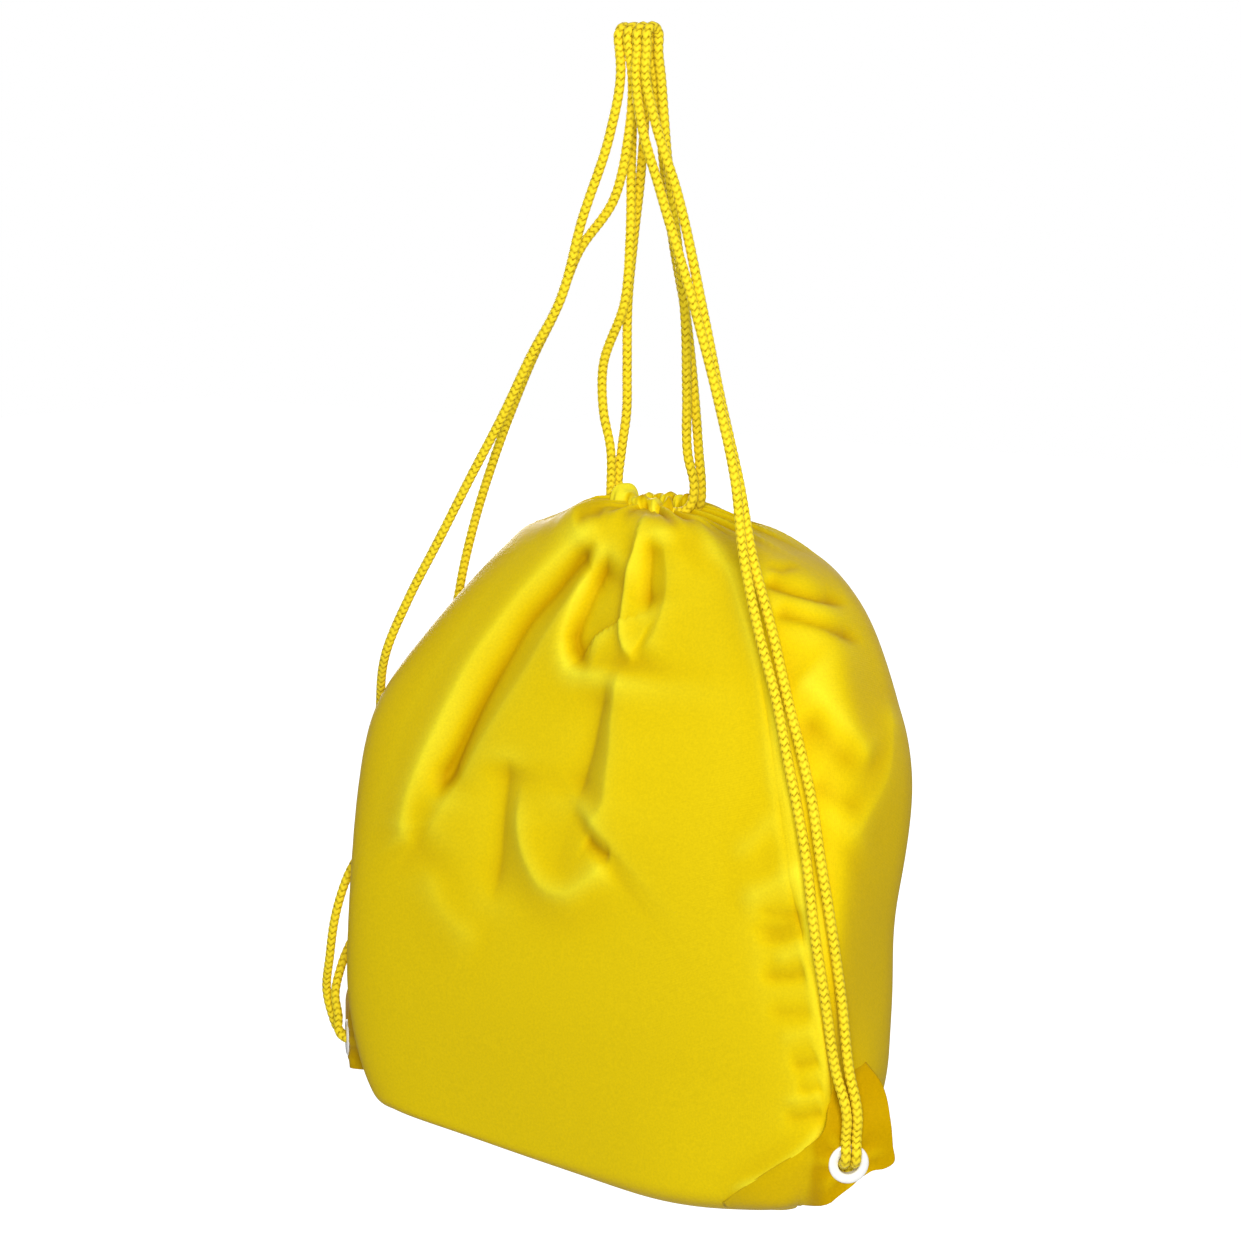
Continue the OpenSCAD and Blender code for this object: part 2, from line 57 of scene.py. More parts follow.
towards_camera = Vector((np.sin(view_turn) * np.cos(view_rise),
                         -np.cos(view_turn) * np.cos(view_rise), np.sin(view_rise)))
view_right = Vector((np.cos(view_turn), np.sin(view_turn), 0.0))
view_up = towards_camera.cross(view_right)
lens = bpy.data.cameras.new("camera")
lens.sensor_width = sensor_width
lens.lens = sensor_width * focal_share
lens.clip_end = 50.0
camera = bpy.data.objects.new("camera", lens)
turned = Matrix((view_right, view_up, towards_camera)).transposed().to_4x4()
camera.matrix_world = Matrix.Translation(view_centre + view_distance * towards_camera) @ turned
bpy.context.scene.collection.objects.link(camera)
bpy.context.scene.camera = camera
bpy.context.scene.view_settings.view_transform = "Standard"


# ---- Drawcords ----------------------------------------------------------------------------------
# Two cords of 5 mm braided polyester. Each starts in the knot behind its lower corner, passes the
# eyelet, goes up over the hook and down to its own side of the mouth, round the mouth in the
# casing, and back over the hook to the same eyelet and knot. Nothing but the knot holds it.
cord_d = 5.0
loop_r = 5.5
z_mouth = -228.0
z_floor = -563.0
z_lane = z_mouth - 9.0
lane_w, lane_d, mouth_back = 20.0, 10.5, 25.0
loops_right, loop_pitch = 6.5, 5.6
eyelet_z = z_floor + 34.0
corner_turn = 45.0
eyelet_xy = {1: (160.0, -42.0), -1: (163.0, -31.0)}
patch_t = 2.4
knot_face, knot_d, knot_t = 2.8, 12.0, 10.0

right_outer = [
    (9, -7, -16), (17, -10, -40), (32, -13, -73), (53, -19, -134), (67, -25, -173),
    (81, -30, -210), (93, -35, -247), (106, -38, -280), (118, -42, -312), (130, -47, -339),
    (137, -50, -357), (144, -54, -380), (152, -55, -416), (156, -52, -450), (161, -53, -482)]
right_inner = [
    (4, -8, -16), (10, -12, -40), (25, -17, -73), (53, -25, -134), (69, -30, -173),
    (83, -36, -210), (91, -41, -243), (101, -43, -278), (114, -46, -312), (124, -51, -339),
    (130, -53, -357), (138, -57, -380), (146, -61, -416), (152, -60, -450), (156, -57, -482)]
left_outer = [
    (-5, -8, -16), (-10, -10, -46), (-25, -13, -88), (-37, -16, -129), (-54, -18, -157),
    (-69, -20, -185), (-90, -24, -222), (-108, -27, -254), (-127, -30, -287), (-142, -31, -317),
    (-156, -20, -350), (-156, -20, -385), (-157, -27, -415), (-160, -45, -440), (-164, -49, -458),
    (-168, -50, -482)]
left_inner = [
    (-1, -4, -18), (-3, -5, -50), (-12, -4, -78), (-33, -5, -104), (-49, -4, -135),
    (-62, -3, -155), (-80, -1, -187), (-93, 0, -214), (-106, 2, -243), (-116, 3, -272),
    (-123, 5, -294), (-135, 11, -316), (-154, 14, -342), (-158, 10, -375), (-159, -4, -411),
    (-159, -22, -439), (-160, -33, -464), (-165, -44, -488)]
right_drop = [
    (8, 8, -20), (12, 9, -66), (18, 8, -100), (22, 9, -134), (22, 11, -175),
    (22, 12, -205)]
right_drop_inner = [
    (3, 10, -20), (6, 14, -66), (10, 16, -100), (16, 18, -134), (21, 19, -175),
    (24, 19, -205)]
left_drop = [
    (-8, 6, -20), (-8, 5, -62), (-8, 4, -98), (-11, 4, -128), (-28, 8, -164), (-29, 10, -186),
    (-26, 12, -205)]
left_drop_inner = [
    (-3, 9, -20), (-7, 12, -64), (-13, 14, -98), (-18, 16, -129), (-20, 18, -165),
    (-21, 19, -186), (-24, 19, -205)]
strap_runs = {1: (right_outer, right_inner), -1: (left_outer, left_inner)}
drops = {1: (right_drop, right_drop_inner), -1: (left_drop, left_drop_inner)}
bows = {1: (6.0, 6.0), -1: (12.0, 8.0)}
lane_height = {1: 2.65, -1: -2.65}
lane_turn = {1: 3.5, -1: 4.0}
lane_exits = {1: [(25.5, 3.2, 12), (24.6, 4, 5), (21.5, 5.4, 1)],
              -1: [(26.5, 3.2, 14), (26.2, 4, 6), (22.5, 5.4, 1)]}


def linear(hex_colour):
    """An sRGB hex colour as linear red, green, blue and 1: c/12.92, or ((c + 0.055)/1.055) to the
    2.4."""
    c = np.array([int(hex_colour[i:i + 2], 16) for i in (1, 3, 5)]) / 255
    return (*np.where(c <= 0.04045, c / 12.92, ((c + 0.055) / 1.055) ** 2.4), 1.0)


def add_node(material, kind, inputs=(), **settings):
    """One shader node with its settings, and its inputs set to a value or linked to a socket."""
    n = material.node_tree.nodes.new(kind)
    for name, value in settings.items():
        setattr(n, name, value)
    for name, value in dict(inputs).items():
        if isinstance(value, bpy.types.NodeSocket):
            material.node_tree.links.new(value, n.inputs[name])
        else:
            n.inputs[name].default_value = value
    return n


def new_material(name):
    """An empty node material and its output node."""
    m = bpy.data.materials.new(name)
    m.use_nodes = True
    m.node_tree.nodes.clear()
    return m, m.node_tree.nodes.new("ShaderNodeOutputMaterial")


def colour_ramp(material, factor, *stops):
    """The colour that a ramp gives for a factor. Its stops are position and sRGB hex, in order."""
    n = add_node(material, "ShaderNodeValToRGB", {"Fac": factor})
    ramp = n.color_ramp
    ramp.elements[0].position, ramp.elements[1].position = stops[0][0], stops[-1][0]
    for position, _ in stops[1:-1]:
        ramp.elements.new(position)
    for element, (_, colour) in zip(ramp.elements, stops):
        element.color = linear(colour)
    return n.outputs["Color"]


def principled(material, out, inputs):
    """Ends a material in one principled shader with these inputs."""
    shader = add_node(material, "ShaderNodeBsdfPrincipled", inputs)
    material.node_tree.links.new(shader.outputs["BSDF"], out.inputs["Surface"])


def grid_object(name, points, material, uv=None, shade_tone=None, wrap=False, ring=False):
    """A mesh of a grid of points in mm, rows by columns. wrap joins the last column to the first,
    and ring the last row to the first."""
    rows, cols = points.shape[:2]
    i, j = np.meshgrid(np.arange(rows if ring else rows - 1),
                       np.arange(cols if wrap else cols - 1), indexing="ij")
    k, n = (j + 1) % cols, (i + 1) % rows
    quads = np.stack([i * cols + j, i * cols + k, n * cols + k, n * cols + j], -1)
    quads = quads.reshape(-1, 4)
    mesh = bpy.data.meshes.new(name)
    mesh.vertices.add(rows * cols)
    mesh.vertices.foreach_set("co", (points * 0.001).astype(np.float32).ravel())
    mesh.loops.add(quads.size)
    mesh.loops.foreach_set("vertex_index", quads.ravel().astype(np.int32))
    mesh.polygons.add(len(quads))
    mesh.polygons.foreach_set("loop_start", np.arange(0, quads.size, 4, dtype=np.int32))
    mesh.polygons.foreach_set("use_smooth", np.ones(len(quads), dtype=bool))
    mesh.update(calc_edges=True)
    if uv is not None:
        corner = uv.reshape(-1, 2)[quads.ravel()]
        if wrap:  # the last column's far corners carry on past the seam
            last = j == cols - 1
            far = np.stack([j * 0, last, last, j * 0], -1).reshape(-1).astype(bool)
            once_round = (uv[0, 1, 0] - uv[0, 0, 0]) * cols
            corner = corner + far[:, None] * np.array([once_round, 0.0])
        layer = mesh.uv_layers.new(name="cloth")
        layer.data.foreach_set("uv", corner.astype(np.float32).ravel())
    # The shade tone is painted shade and light, kept as a mesh attribute for the materials.
    if shade_tone is not None:
        layer = mesh.attributes.new("relief_and_shade", "FLOAT", "POINT")
        layer.data.foreach_set("value", shade_tone.astype(np.float32).ravel())
    mesh.materials.append(material)
    mesh.validate()
    o = bpy.data.objects.new(name, mesh)
    bpy.context.scene.collection.objects.link(o)
    return o


def smooth(t):
    """3t^2 - 2t^3 from 0 to 1, and flat outside."""
    t = np.clip(t, 0.0, 1.0)
    return t * t * (3 - 2 * t)


def curve_through(points, spacing):
    """Points along a smooth curve through the given ones, that far apart along it: between two of
    them a cubic whose slope at each is the mean of the slopes before and after it, the shorter
    step the heavier."""
    p = np.array(points, float)
    step = np.linalg.norm(np.diff(p, axis=0), axis=1)[:, None]
    slope = np.diff(p, axis=0) / step
    inner = (slope[1:] * step[:-1] + slope[:-1] * step[1:]) / (step[1:] + step[:-1])
    slope = np.vstack([slope[:1], inner, slope[-1:]])
    t = np.linspace(0, 1, 24, endpoint=False)[None, :, None]
    a, b, h = p[:-1, None], p[1:, None], step[:, None]
    fine = ((2 * t ** 3 - 3 * t ** 2 + 1) * a + (t ** 3 - 2 * t ** 2 + t) * h * slope[:-1, None]
            + (3 * t ** 2 - 2 * t ** 3) * b + (t ** 3 - t ** 2) * h * slope[1:, None])
    fine = np.vstack([fine.reshape(-1, 3), p[-1:]])
    run = np.r_[0, np.cumsum(np.linalg.norm(np.diff(fine, axis=0), axis=1))]
    even = np.linspace(0, run[-1], max(2, int(round(run[-1] / spacing)) + 1))
    return np.stack([np.interp(even, run, fine[:, k]) for k in range(3)], -1)


def rings_along(path):
    """Two directions across the path at each point, carried along it without twist: a frame
    leaning on one fixed direction, turned back by the running sum of its own small twists."""
    way = np.gradient(path, axis=0)
    way /= np.linalg.norm(way, axis=1, keepdims=True)
    lean = np.array([0.43, 0.79, 0.44])
    side = lean - (way @ lean)[:, None] * way
    side /= np.linalg.norm(side, axis=1, keepdims=True)
    other = np.cross(way, side)
    before = side[:-1] - np.sum(side[:-1] * way[1:], 1, keepdims=True) * way[1:]
    twist = np.arctan2(np.sum(before * other[1:], 1), np.sum(before * side[1:], 1))
    turn = np.r_[0, np.cumsum(twist)]
    c, s = np.cos(turn)[:, None], np.sin(turn)[:, None]
    return c * side + s * other, c * other - s * side


plait_pitch = 3.4       # one plait along the cord
plait_columns = 8       # columns of plaits round the cord, leaning left and right in turn
cord_sides = 24
path_step = 0.7         # between the rings of points along a cord


def plait_height(around, along):
    """Braid relief from 0 in the grooves to 1 on the crowns: columns round the cord, each a row of
    rounded plaits that lean left in one column and right in the next, so that two make a row of
    Vs."""
    column = around * plait_columns
    across = column - np.floor(column) - 0.5
    lean = np.where(np.floor(column) % 2 < 0.5, 1.0, -1.0)
    phase = along / plait_pitch + lean * 0.5 * across
    plait = np.abs(np.cos(np.pi * phase)) ** 0.55
    return plait * np.sqrt(np.clip(1 - (1.75 * across) ** 2, 0, 1))


def braided_cord(name, path, radius=cord_d / 2):
    """A tube round the path whose radius follows the braid relief, its ends drawn in to points."""
    side, other = rings_along(path)
    run = np.r_[0, np.cumsum(np.linalg.norm(np.diff(path, axis=0), axis=1))]
    around = (np.arange(cord_sides) + 0.5) / cord_sides
    relief_and_shade = plait_height(around[None, :], run[:, None])
    r = radius * (0.82 + 0.20 * relief_and_shade)
    r[[0, -1]] = 0.05
    a = 2 * np.pi * around
    points = path[:, None, :] + r[..., None] * (np.cos(a)[None, :, None] * side[:, None, :]
                                                + np.sin(a)[None, :, None] * other[:, None, :])
    uv = np.stack(np.broadcast_arrays(around[None, :] * 0.0157, run[:, None] * 0.001), -1)
    # The braid relief is also kept as shade tone: painted shade in the grooves, painted highlight
    # on the crowns.
    return grid_object(name, points, braided_polyester, uv=uv, shade_tone=relief_and_shade, wrap=True)


# Braided polyester cord: bright filament yarn in round plaits, painted darker where one dives
# under the next, as painted shade, and lighter on the crowns as painted highlight.
braided_polyester, out = new_material("braided_polyester")
relief_and_shade = add_node(braided_polyester, "ShaderNodeAttribute", attribute_name="relief_and_shade")
uv_of = add_node(braided_polyester, "ShaderNodeUVMap", uv_map="cloth")
yarn = add_node(braided_polyester, "ShaderNodeTexNoise",
                {"Vector": uv_of.outputs["UV"], "Scale": 900.0, "Detail": 2.0})
painted_groove_shade = colour_ramp(braided_polyester, relief_and_shade.outputs["Fac"], (0.12, "#8F6C00"), (0.75, "#F6DC2A"))
yarn_bump = add_node(braided_polyester, "ShaderNodeBump",
                     {"Height": yarn.outputs["Fac"], "Strength": 0.35, "Distance": 0.00015})
principled(braided_polyester, out,
           {"Base Color": painted_groove_shade, "Roughness": 0.5, "Specular IOR Level": 0.25,
            "Specular Tint": linear("#FFE24A"), "Sheen Weight": 0.1, "Sheen Roughness": 0.5,
            "Sheen Tint": linear("#FFE46A"), "Normal": yarn_bump.outputs["Normal"]})


def at_corner(side, x, y, z):
    """A point in a corner's own frame, x out along it, y behind its face and z up, in the bag's
    frame."""
    a, (ox, oy) = np.radians(corner_turn), eyelet_xy[side]
    return (side * (ox + x * np.cos(a) - y * np.sin(a)), oy + x * np.sin(a) + y * np.cos(a),
            eyelet_z + z)


def cord_end(side, lean, bow):
    """From in front of the eyelet, over its rim, through its hole and to the face of the knot."""
    x = lean * (cord_d / 2 + 0.1)
    return [at_corner(side, x + 0.4, -bow, 24), at_corner(side, x + 0.2, -0.8 * bow, 13),
            at_corner(side, x, -6.2, 4), at_corner(side, x, -3.2, 0.6), at_corner(side, x, 0, 0),
            at_corner(side, x, knot_face, 0)]


def hung(points):
    """A run of cord as it hangs: at the hook it keeps with the loops, which sit to the right, and
    lower down with the mouth, 9 mm further back than the tables say, in proportion to the drop."""
    p = np.array(points, float)
    down = np.clip(p[:, 2] / z_mouth, 0, 1)
    p[:, 0] += loops_right * (1 - down)
    p[:, 1] += (mouth_back - 16.0) * down
    return [tuple(q) for q in p]


def hook_loop(x, from_front):
    """A little over half a circle round the hook, from its front to its back or the other way."""
    a = np.radians(np.linspace(-25, 205, 9))
    arc = [(x, -loop_r * np.cos(t), loop_r * np.sin(t)) for t in a]
    return arc if from_front else arc[::-1]


def round_the_mouth(side):
    """In at the cord's own side, through the front casing, round the far side and back through the
    other."""
    z = z_lane + lane_height[side]
    near, far = (40.0, 140.0) if side > 0 else (140.0, 40.0)

    def lane(a):
        return lane_w * np.cos(np.radians(a)), mouth_back + lane_d * np.sin(np.radians(a)), z

    front = [lane(-a) for a in np.linspace(near, far, 6)]
    back = [lane(a) for a in np.linspace(far, near, 6)]
    turn = [(-side * (lane_w * 0.82 + lane_turn[side] * np.cos(np.radians(a))),
             mouth_back + 0.82 * lane_d * np.sin(np.radians(a)), z) for a in (-50, 0, 50)]
    leave = [(side * x, mouth_back - y, z + up) for x, y, up in lane_exits[side]]
    come = [(side * x, mouth_back + y, z + up) for x, y, up in lane_exits[side][::-1]]
    return leave + front + turn + back + come


def knot_path(side):
    """A tight trefoil behind the eyelet, its centre line (sin t + 2 sin 2t, cos t - 2 cos 2t, -sin
    3t), drawn in to the knot's width and length."""
    t = np.linspace(0, 2 * np.pi, 91)
    wide, deep = (knot_d - 4.6) / 6, (knot_t - 4.8) / 2
    x, z = wide * (np.sin(t) + 2 * np.sin(2 * t)), wide * (np.cos(t) - 2 * np.cos(2 * t))
    return np.stack(at_corner(side, x, knot_face + knot_t / 2 - deep * np.sin(3 * t), z), -1)


def tail_path(side, lean):
    """A short cut end of cord that hangs out of the knot."""
    y = knot_face + knot_t / 2
    return curve_through([at_corner(side, lean * 0.5, y, -1),
                          at_corner(side, lean * 2.0, y + 0.6, -5),
                          at_corner(side, lean * 3.1, y + 0.4, -9.5),
                          at_corner(side, lean * 3.4, y, -13)], path_step)


drawcords = {}
for side, word in ((1, "right"), (-1, "left")):
    outer, inner = strap_runs[side]
    drop, drop_inner = drops[side]
    loop_x = loops_right + side * 1.5 * loop_pitch, loops_right + side * 0.5 * loop_pitch
    route = (cord_end(side, 1, bows[side][0])[::-1] + hung(outer)[::-1]
             + hook_loop(loop_x[0], True) + hung(drop) + round_the_mouth(side)
             + hung(drop_inner)[::-1] + hook_loop(loop_x[1], False) + hung(inner)
             + cord_end(side, -1, bows[side][1]))
    path = curve_through(route, path_step)
    for _ in range(6):      # soften the joins between the runs
        path[1:-1] = 0.25 * path[:-2] + 0.5 * path[1:-1] + 0.25 * path[2:]
    cord = braided_cord(f"{word}_drawcord", path)
    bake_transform(cord)
    knot = braided_cord(f"{word}_tied_knot", knot_path(side), radius=2.4)
    ends = [braided_cord(f"{word}_cord_end_{n}", tail_path(side, lean))
            for n, lean in ((1, -1), (2, 1))]
    for piece in [knot] + ends:
        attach(piece, "bag")
    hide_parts(f"{word}_knot")
    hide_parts(*(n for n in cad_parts
                        if n.startswith(word) and ("cord" in n or "loop" in n)))
    drawcords[side] = cord


# ---- The bag's panels ---------------------------------------------------------------------------
# One front and one back panel of coated woven polyester, sewn together down both sides and along
# the bottom, and drawn together at the mouth. The filling pushes them out; they hang in folds from
# the mouth.
body_w, body_d = 306.0, 102.0
floor_w, corner_h, floor_r = 238.0, 76.0, 14.0
shoulder_h, sag, belly_fore = 165.0, 9.0, 5.0
z_top = z_mouth - 18.3
z_shoulder = z_top - shoulder_h
top_hw, top_hd = 22.25, 12.75
left_neck, left_slope = 0.42, 0.98
neck_lift, neck_reach = 13.0, 60.0
cloth_t = 0.8
cloth_cut = {"front": (0.31, 0.45), "back": (0.45, 0.45)}      # metres, laid flat


def unit(v):
    """Vectors scaled to length 1."""
    return v / np.maximum(np.linalg.norm(v, axis=-1, keepdims=True), 1e-9)


def bent(t):
    """t as long as it is small, levelling off sharply at 1: (1 + t^-16)^(-1/16)."""
    return (1 + np.maximum(t, 1e-3) ** -16.0) ** (-1 / 16)


def filled_skin(b, s):
    """The filled bag. Level s runs down it: 0 at the casing, 1 at full width, 2 where it turns
    under, 3 at the bottom seam. Angle b goes round it in degrees: 0 right, 90 back, 270 front.
    Each level is a rounded oblong, |x|^n + |y|^n = 1, stretched to that level's half width and
    half depth. The right shoulder is round, the left one straight like a roof, and both rise to
    the gathered neck."""
    up = 90 * np.clip(s, 0, 1) * np.pi / 180
    under = 90 * np.clip(s - 2, 0, 1) * np.pi / 180
    c, q = np.cos(np.radians(b)), np.sin(np.radians(b))
    z = np.where(s <= 1, z_shoulder + (z_top - z_shoulder) * np.cos(up),
                 z_shoulder + (z_floor + floor_r - z_shoulder) * np.clip(s - 1, 0, 1))
    z = np.where(s > 2, z_floor + floor_r * (1 - np.sin(under) ** 0.7), z)
    low = np.clip((z_floor + corner_h - z) / corner_h, 0, 1)
    down = 1 - np.cos(up)
    roof = bent(left_neck * (1 - np.exp(-down / 0.004)) + left_slope * down) / bent(1.4)
    share = np.where(c > 0, np.sin(up) ** 0.525, np.where(s > 0, roof, 0))
    half_w = np.where(s <= 1, top_hw + (body_w / 2 - top_hw) * share,
                      body_w / 2 - (body_w - floor_w) / 2 * (1 - np.sqrt(1 - low ** 2)))
    half_d = np.where(s <= 1, top_hd + (body_d / 2 - top_hd) * np.sin(up) ** 0.45,
                      np.maximum(0.3, body_d / 2 * np.cos(under) ** 0.5))
    middle = mouth_back - (mouth_back + belly_fore) * smooth((z_mouth - z) / (1.6 * shoulder_h))
    n = np.where(q < 0, 2.2 + 7.3 * smooth(s), 2.2 + 0.8 * smooth(s))
    r = (np.abs(c) ** n + np.abs(q) ** n) ** (-1 / n)
    x = half_w * c * r
    drop = np.clip((z_shoulder - z) / (z_shoulder - z_floor), 0, 1) ** 2
    lift = (neck_lift * np.clip(1 - (np.abs(x) - 20) / neck_reach, 0, 1)
            * smooth((z - z_top + 30) / 30))
    z = z - sag * drop * (1 - np.minimum(1, np.abs(x) / (floor_w / 2)) ** 2) + lift
    return np.stack(np.broadcast_arrays(x, middle + half_d * q * r, z), -1)


def seam_angle(s):
    """Where the side seam lies, in degrees towards the front: at the side of the mouth, then at
    the front edge of the body, then under the corner."""
    return 53 * smooth(s / 0.25) - 17 * smooth((s - 0.5) / 1.4)


def ring_normals(p):
    """Unit normals of a grid whose rows are closed rings, from its steps along and across, out of
    the bag."""
    around = np.roll(p, -1, axis=1) - np.roll(p, 1, axis=1)
    return unit(np.cross(np.gradient(p, axis=0), around))


def distance_to(points, line):
    """For each point, its distance to a polyline, how far along the line that is from 0 to 1, the
    vector from the line to the point, and the line's direction there."""
    best = np.full(points.shape[:-1], 1e9)
    share = np.zeros(points.shape[:-1])
    away = np.zeros(points.shape)
    way = np.zeros(points.shape)
    run = np.r_[0, np.cumsum(np.linalg.norm(np.diff(line, axis=0), axis=1))]
    for a, b, r0, r1 in zip(line[:-1], line[1:], run[:-1], run[1:]):
        t = np.clip((points - a) @ (b - a) / ((b - a) @ (b - a)), 0, 1)
        gap = points - a - t[..., None] * (b - a)
        d = np.linalg.norm(gap, axis=-1)
        near = d < best
        best = np.where(near, d, best)
        share = np.where(near, (r0 + t * (r1 - r0)) / run[-1], share)
        away = np.where(near[..., None], gap, away)
        way = np.where(near[..., None], (b - a) / np.linalg.norm(b - a), way)
    return best, share, away, way


# Folds: the points they run through, then height (mm out, or in below 0), width on their left and
# right sides, sharpness (1 a crease, 2 round), and how fast they fade at the start and at the end
# (share).
front_folds = [
    # fan on the left: its ridge, the long valley beside it, and the lip on the valley's other side
    ([(-6, -9, -239), (-13, -11, -243), (-30, -15, -256), (-47, -19, -273), (-61, -24, -292),
      (-75, -29, -312), (-88, -36, -339), (-101, -42, -370), (-107, -46, -391), (-107, -48, -405),
      (-99, -50, -413)], 4.5, 8, 14, 1.35, 0.08, 0.08),
    ([(-7, -13, -247), (-19, -15, -255), (-34, -19, -272), (-49, -24, -290), (-59, -28, -308),
      (-71, -34, -331), (-81, -39, -355), (-88, -43, -376), (-89, -46, -388)],
     -9.5, 11, 6, 1.25, 0.1, 0.12),
    ([(-3, -13, -250), (-15, -18, -269), (-30, -25, -293), (-42, -30, -316), (-54, -35, -335),
      (-66, -39, -355), (-77, -43, -376), (-88, -47, -397), (-98, -49, -412)],
     2.4, 20, 7, 1.4, 0.15, 0.1),
    ([(-10, -3, -235), (-18, -6, -237), (-25, -9, -241)], -2.5, 4, 6, 1.3, 0.3, 0.3),
    # pouch below the mouth: it is deep at its left rim and rises to the strip on its right
    ([(-3, -12, -247), (-13, -17, -265), (-20, -23, -285), (-21, -26, -298), (-14, -29, -310),
      (3, -30, -312), (14, -29, -308)], 2.2, 3, 9, 1.3, 0.15, 0.15),
    ([(0, -14, -250), (-7, -17, -263), (-13, -22, -281), (-16, -26, -297), (-11, -28, -305),
      (1, -29, -308)], -8, 17, 4, 1.25, 0.2, 0.25),
    ([(11, 2, -234), (16, -13, -249), (13, -17, -265), (14, -22, -281), (17, -25, -293),
      (24, -27, -301), (30, -27, -301)], 4, 8, 3, 1.25, 0.15, 0.15),
    # narrow leaf beside it
    ([(21, -9, -241), (23, -15, -254), (24, -18, -268), (28, -22, -281)],
     -5.5, 9, 4, 1.25, 0.25, 0.25),
    ([(19, -5, -236), (30, -11, -247), (36, -16, -260), (38, -20, -276), (35, -24, -291),
      (28, -27, -301)], 1.8, 13, 4, 1.3, 0.15, 0.15),
    ([(6, 37, -233), (39, -1, -239), (50, -13, -255), (52, -18, -270)], -1.2, 9, 9, 1.6, 0.2, 0.4),
    # long hollow down the middle, with a sharp edge on its right
    ([(14, -29, -310), (9, -33, -329), (7, -37, -346), (3, -41, -364), (1, -44, -380)],
     -5, 9, 15, 1.3, 0.25, 0.25),
    ([(20, -27, -303), (20, -31, -317), (20, -34, -331), (22, -37, -346), (22, -41, -362),
      (22, -43, -373), (16, -44, -382), (9, -46, -390)], 6, 26, 15, 1.2, 0.15, 0.12),
    ([(9, -46, -391), (18, -47, -396), (27, -47, -398)], -2.2, 3, 5, 1.2, 0.2, 0.2),
    # roll that hangs in a U across the belly, and the hollow outside it
    ([(-36, -41, -364), (-34, -44, -380), (-32, -46, -393), (-25, -49, -407), (-14, -50, -418),
      (-1, -50, -420), (13, -49, -412), (28, -47, -397)], 4.6, 14, 9, 1.25, 0.25, 0.12),
    ([(-46, -39, -356), (-46, -44, -379), (-46, -48, -405), (-49, -53, -437)],
     -4, 10, 12, 1.25, 0.15, 0.3),
    ([(-93, -50, -414), (-85, -52, -434), (-68, -54, -448), (-49, -54, -454)],
     1.6, 10, 14, 1.4, 0.3, 0.3),
    # soft drags towards the seam
    ([(99, -49, -411), (118, -47, -400), (136, -43, -388)], 1.8, 7, 9, 1.4, 0.35, 0.1),
    ([(93, -46, -391), (107, -44, -380), (121, -40, -362)], 1.1, 7, 7, 1.5, 0.4, 0.3),
    ([(105, -50, -420), (122, -50, -420), (140, -46, -410)], -1.4, 7, 4, 1.3, 0.4, 0.15),
    # crease where the belly overhangs the lower right corner
    ([(150, -45, -505), (145, -50, -517), (133, -53, -530), (116, -55, -543), (98, -56, -552)],
     2.6, 9, 2.5, 1.3, 0.2, 0.25),
]
seam_ridge = [(24, 19, -234), (49, -1, -242), (72, -12, -261), (87, -20, -281), (103, -27, -305),
              (111, -31, -322), (117, -36, -345), (125, -41, -368), (131, -44, -390),
              (136, -46, -404), (142, -48, -426), (146, -48, -449), (149, -48, -474),
              (150, -47, -498), (150, -44, -512)]
side_folds = [
    (seam_ridge, 2.4, 5, 6, 1.3, 0.05, 0.1),
    ([(81, 0, -254), (90, 2, -256), (94, 14, -255)], -1.6, 4, 3, 1.2, 0.3, 0.3),
    ([(86, -8, -261), (99, -6, -265), (110, 0, -268), (117, 23, -273)], -4, 7, 3, 1.2, 0.12, 0.3),
    ([(97, -15, -275), (111, -12, -277), (122, -3, -282), (129, 19, -290)],
     -3.2, 6, 3, 1.2, 0.12, 0.3),
    ([(116, -23, -301), (129, -22, -309), (138, -20, -319), (145, -13, -334), (147, -9, -345)],
     2.7, 16, 8, 1.2, 0.15, 0.2),
    ([(121, -28, -318), (133, -28, -327), (142, -25, -336), (147, -15, -346)],
     -2.6, 8, 12, 1.3, 0.25, 0.3),
    ([(131, -35, -350), (145, -31, -356), (150, -18, -365)], -1.6, 8, 5, 1.3, 0.2, 0.35),
    ([(139, 23, -313), (144, 12, -333), (148, 0, -350), (150, -18, -365), (148, -36, -380)],
     2.2, 14, 9, 1.25, 0.2, 0.15),
]
pucker_folds = [
    ([(108, -49, -410), (125, -49, -412), (139, -46, -409)], -1.2, 5, 3, 1.25, 0.4, 0.15),
    ([(111, -51, -426), (126, -50, -423), (140, -47, -417)], -1.7, 6, 3, 1.2, 0.4, 0.12),
    ([(114, -53, -443), (129, -52, -441), (141, -49, -438)], -2, 7, 3, 1.2, 0.35, 0.1),
    ([(121, -52, -435), (131, -50, -430), (142, -48, -425)], 0.9, 4, 4, 1.3, 0.4, 0.15),
    ([(118, -54, -458), (133, -53, -458), (145, -50, -456)], -1.1, 6, 4, 1.3, 0.4, 0.15),
    ([(126, -55, -472), (138, -53, -467), (147, -49, -464)], 0.8, 4, 5, 1.3, 0.4, 0.15),
    ([(133, -54, -484), (141, -53, -482), (148, -49, -479)], -1.7, 6, 3, 1.2, 0.35, 0.1),
    ([(137, -54, -495), (144, -52, -494), (149, -48, -492)], -1.3, 5, 3, 1.2, 0.35, 0.1),
    ([(128, -55, -502), (140, -53, -498), (149, -48, -495)], 1, 3, 4, 1.2, 0.4, 0.1),
    ([(130, -55, -510), (140, -53, -508), (149, -47, -505)], -1.5, 5, 3, 1.2, 0.35, 0.1),
]

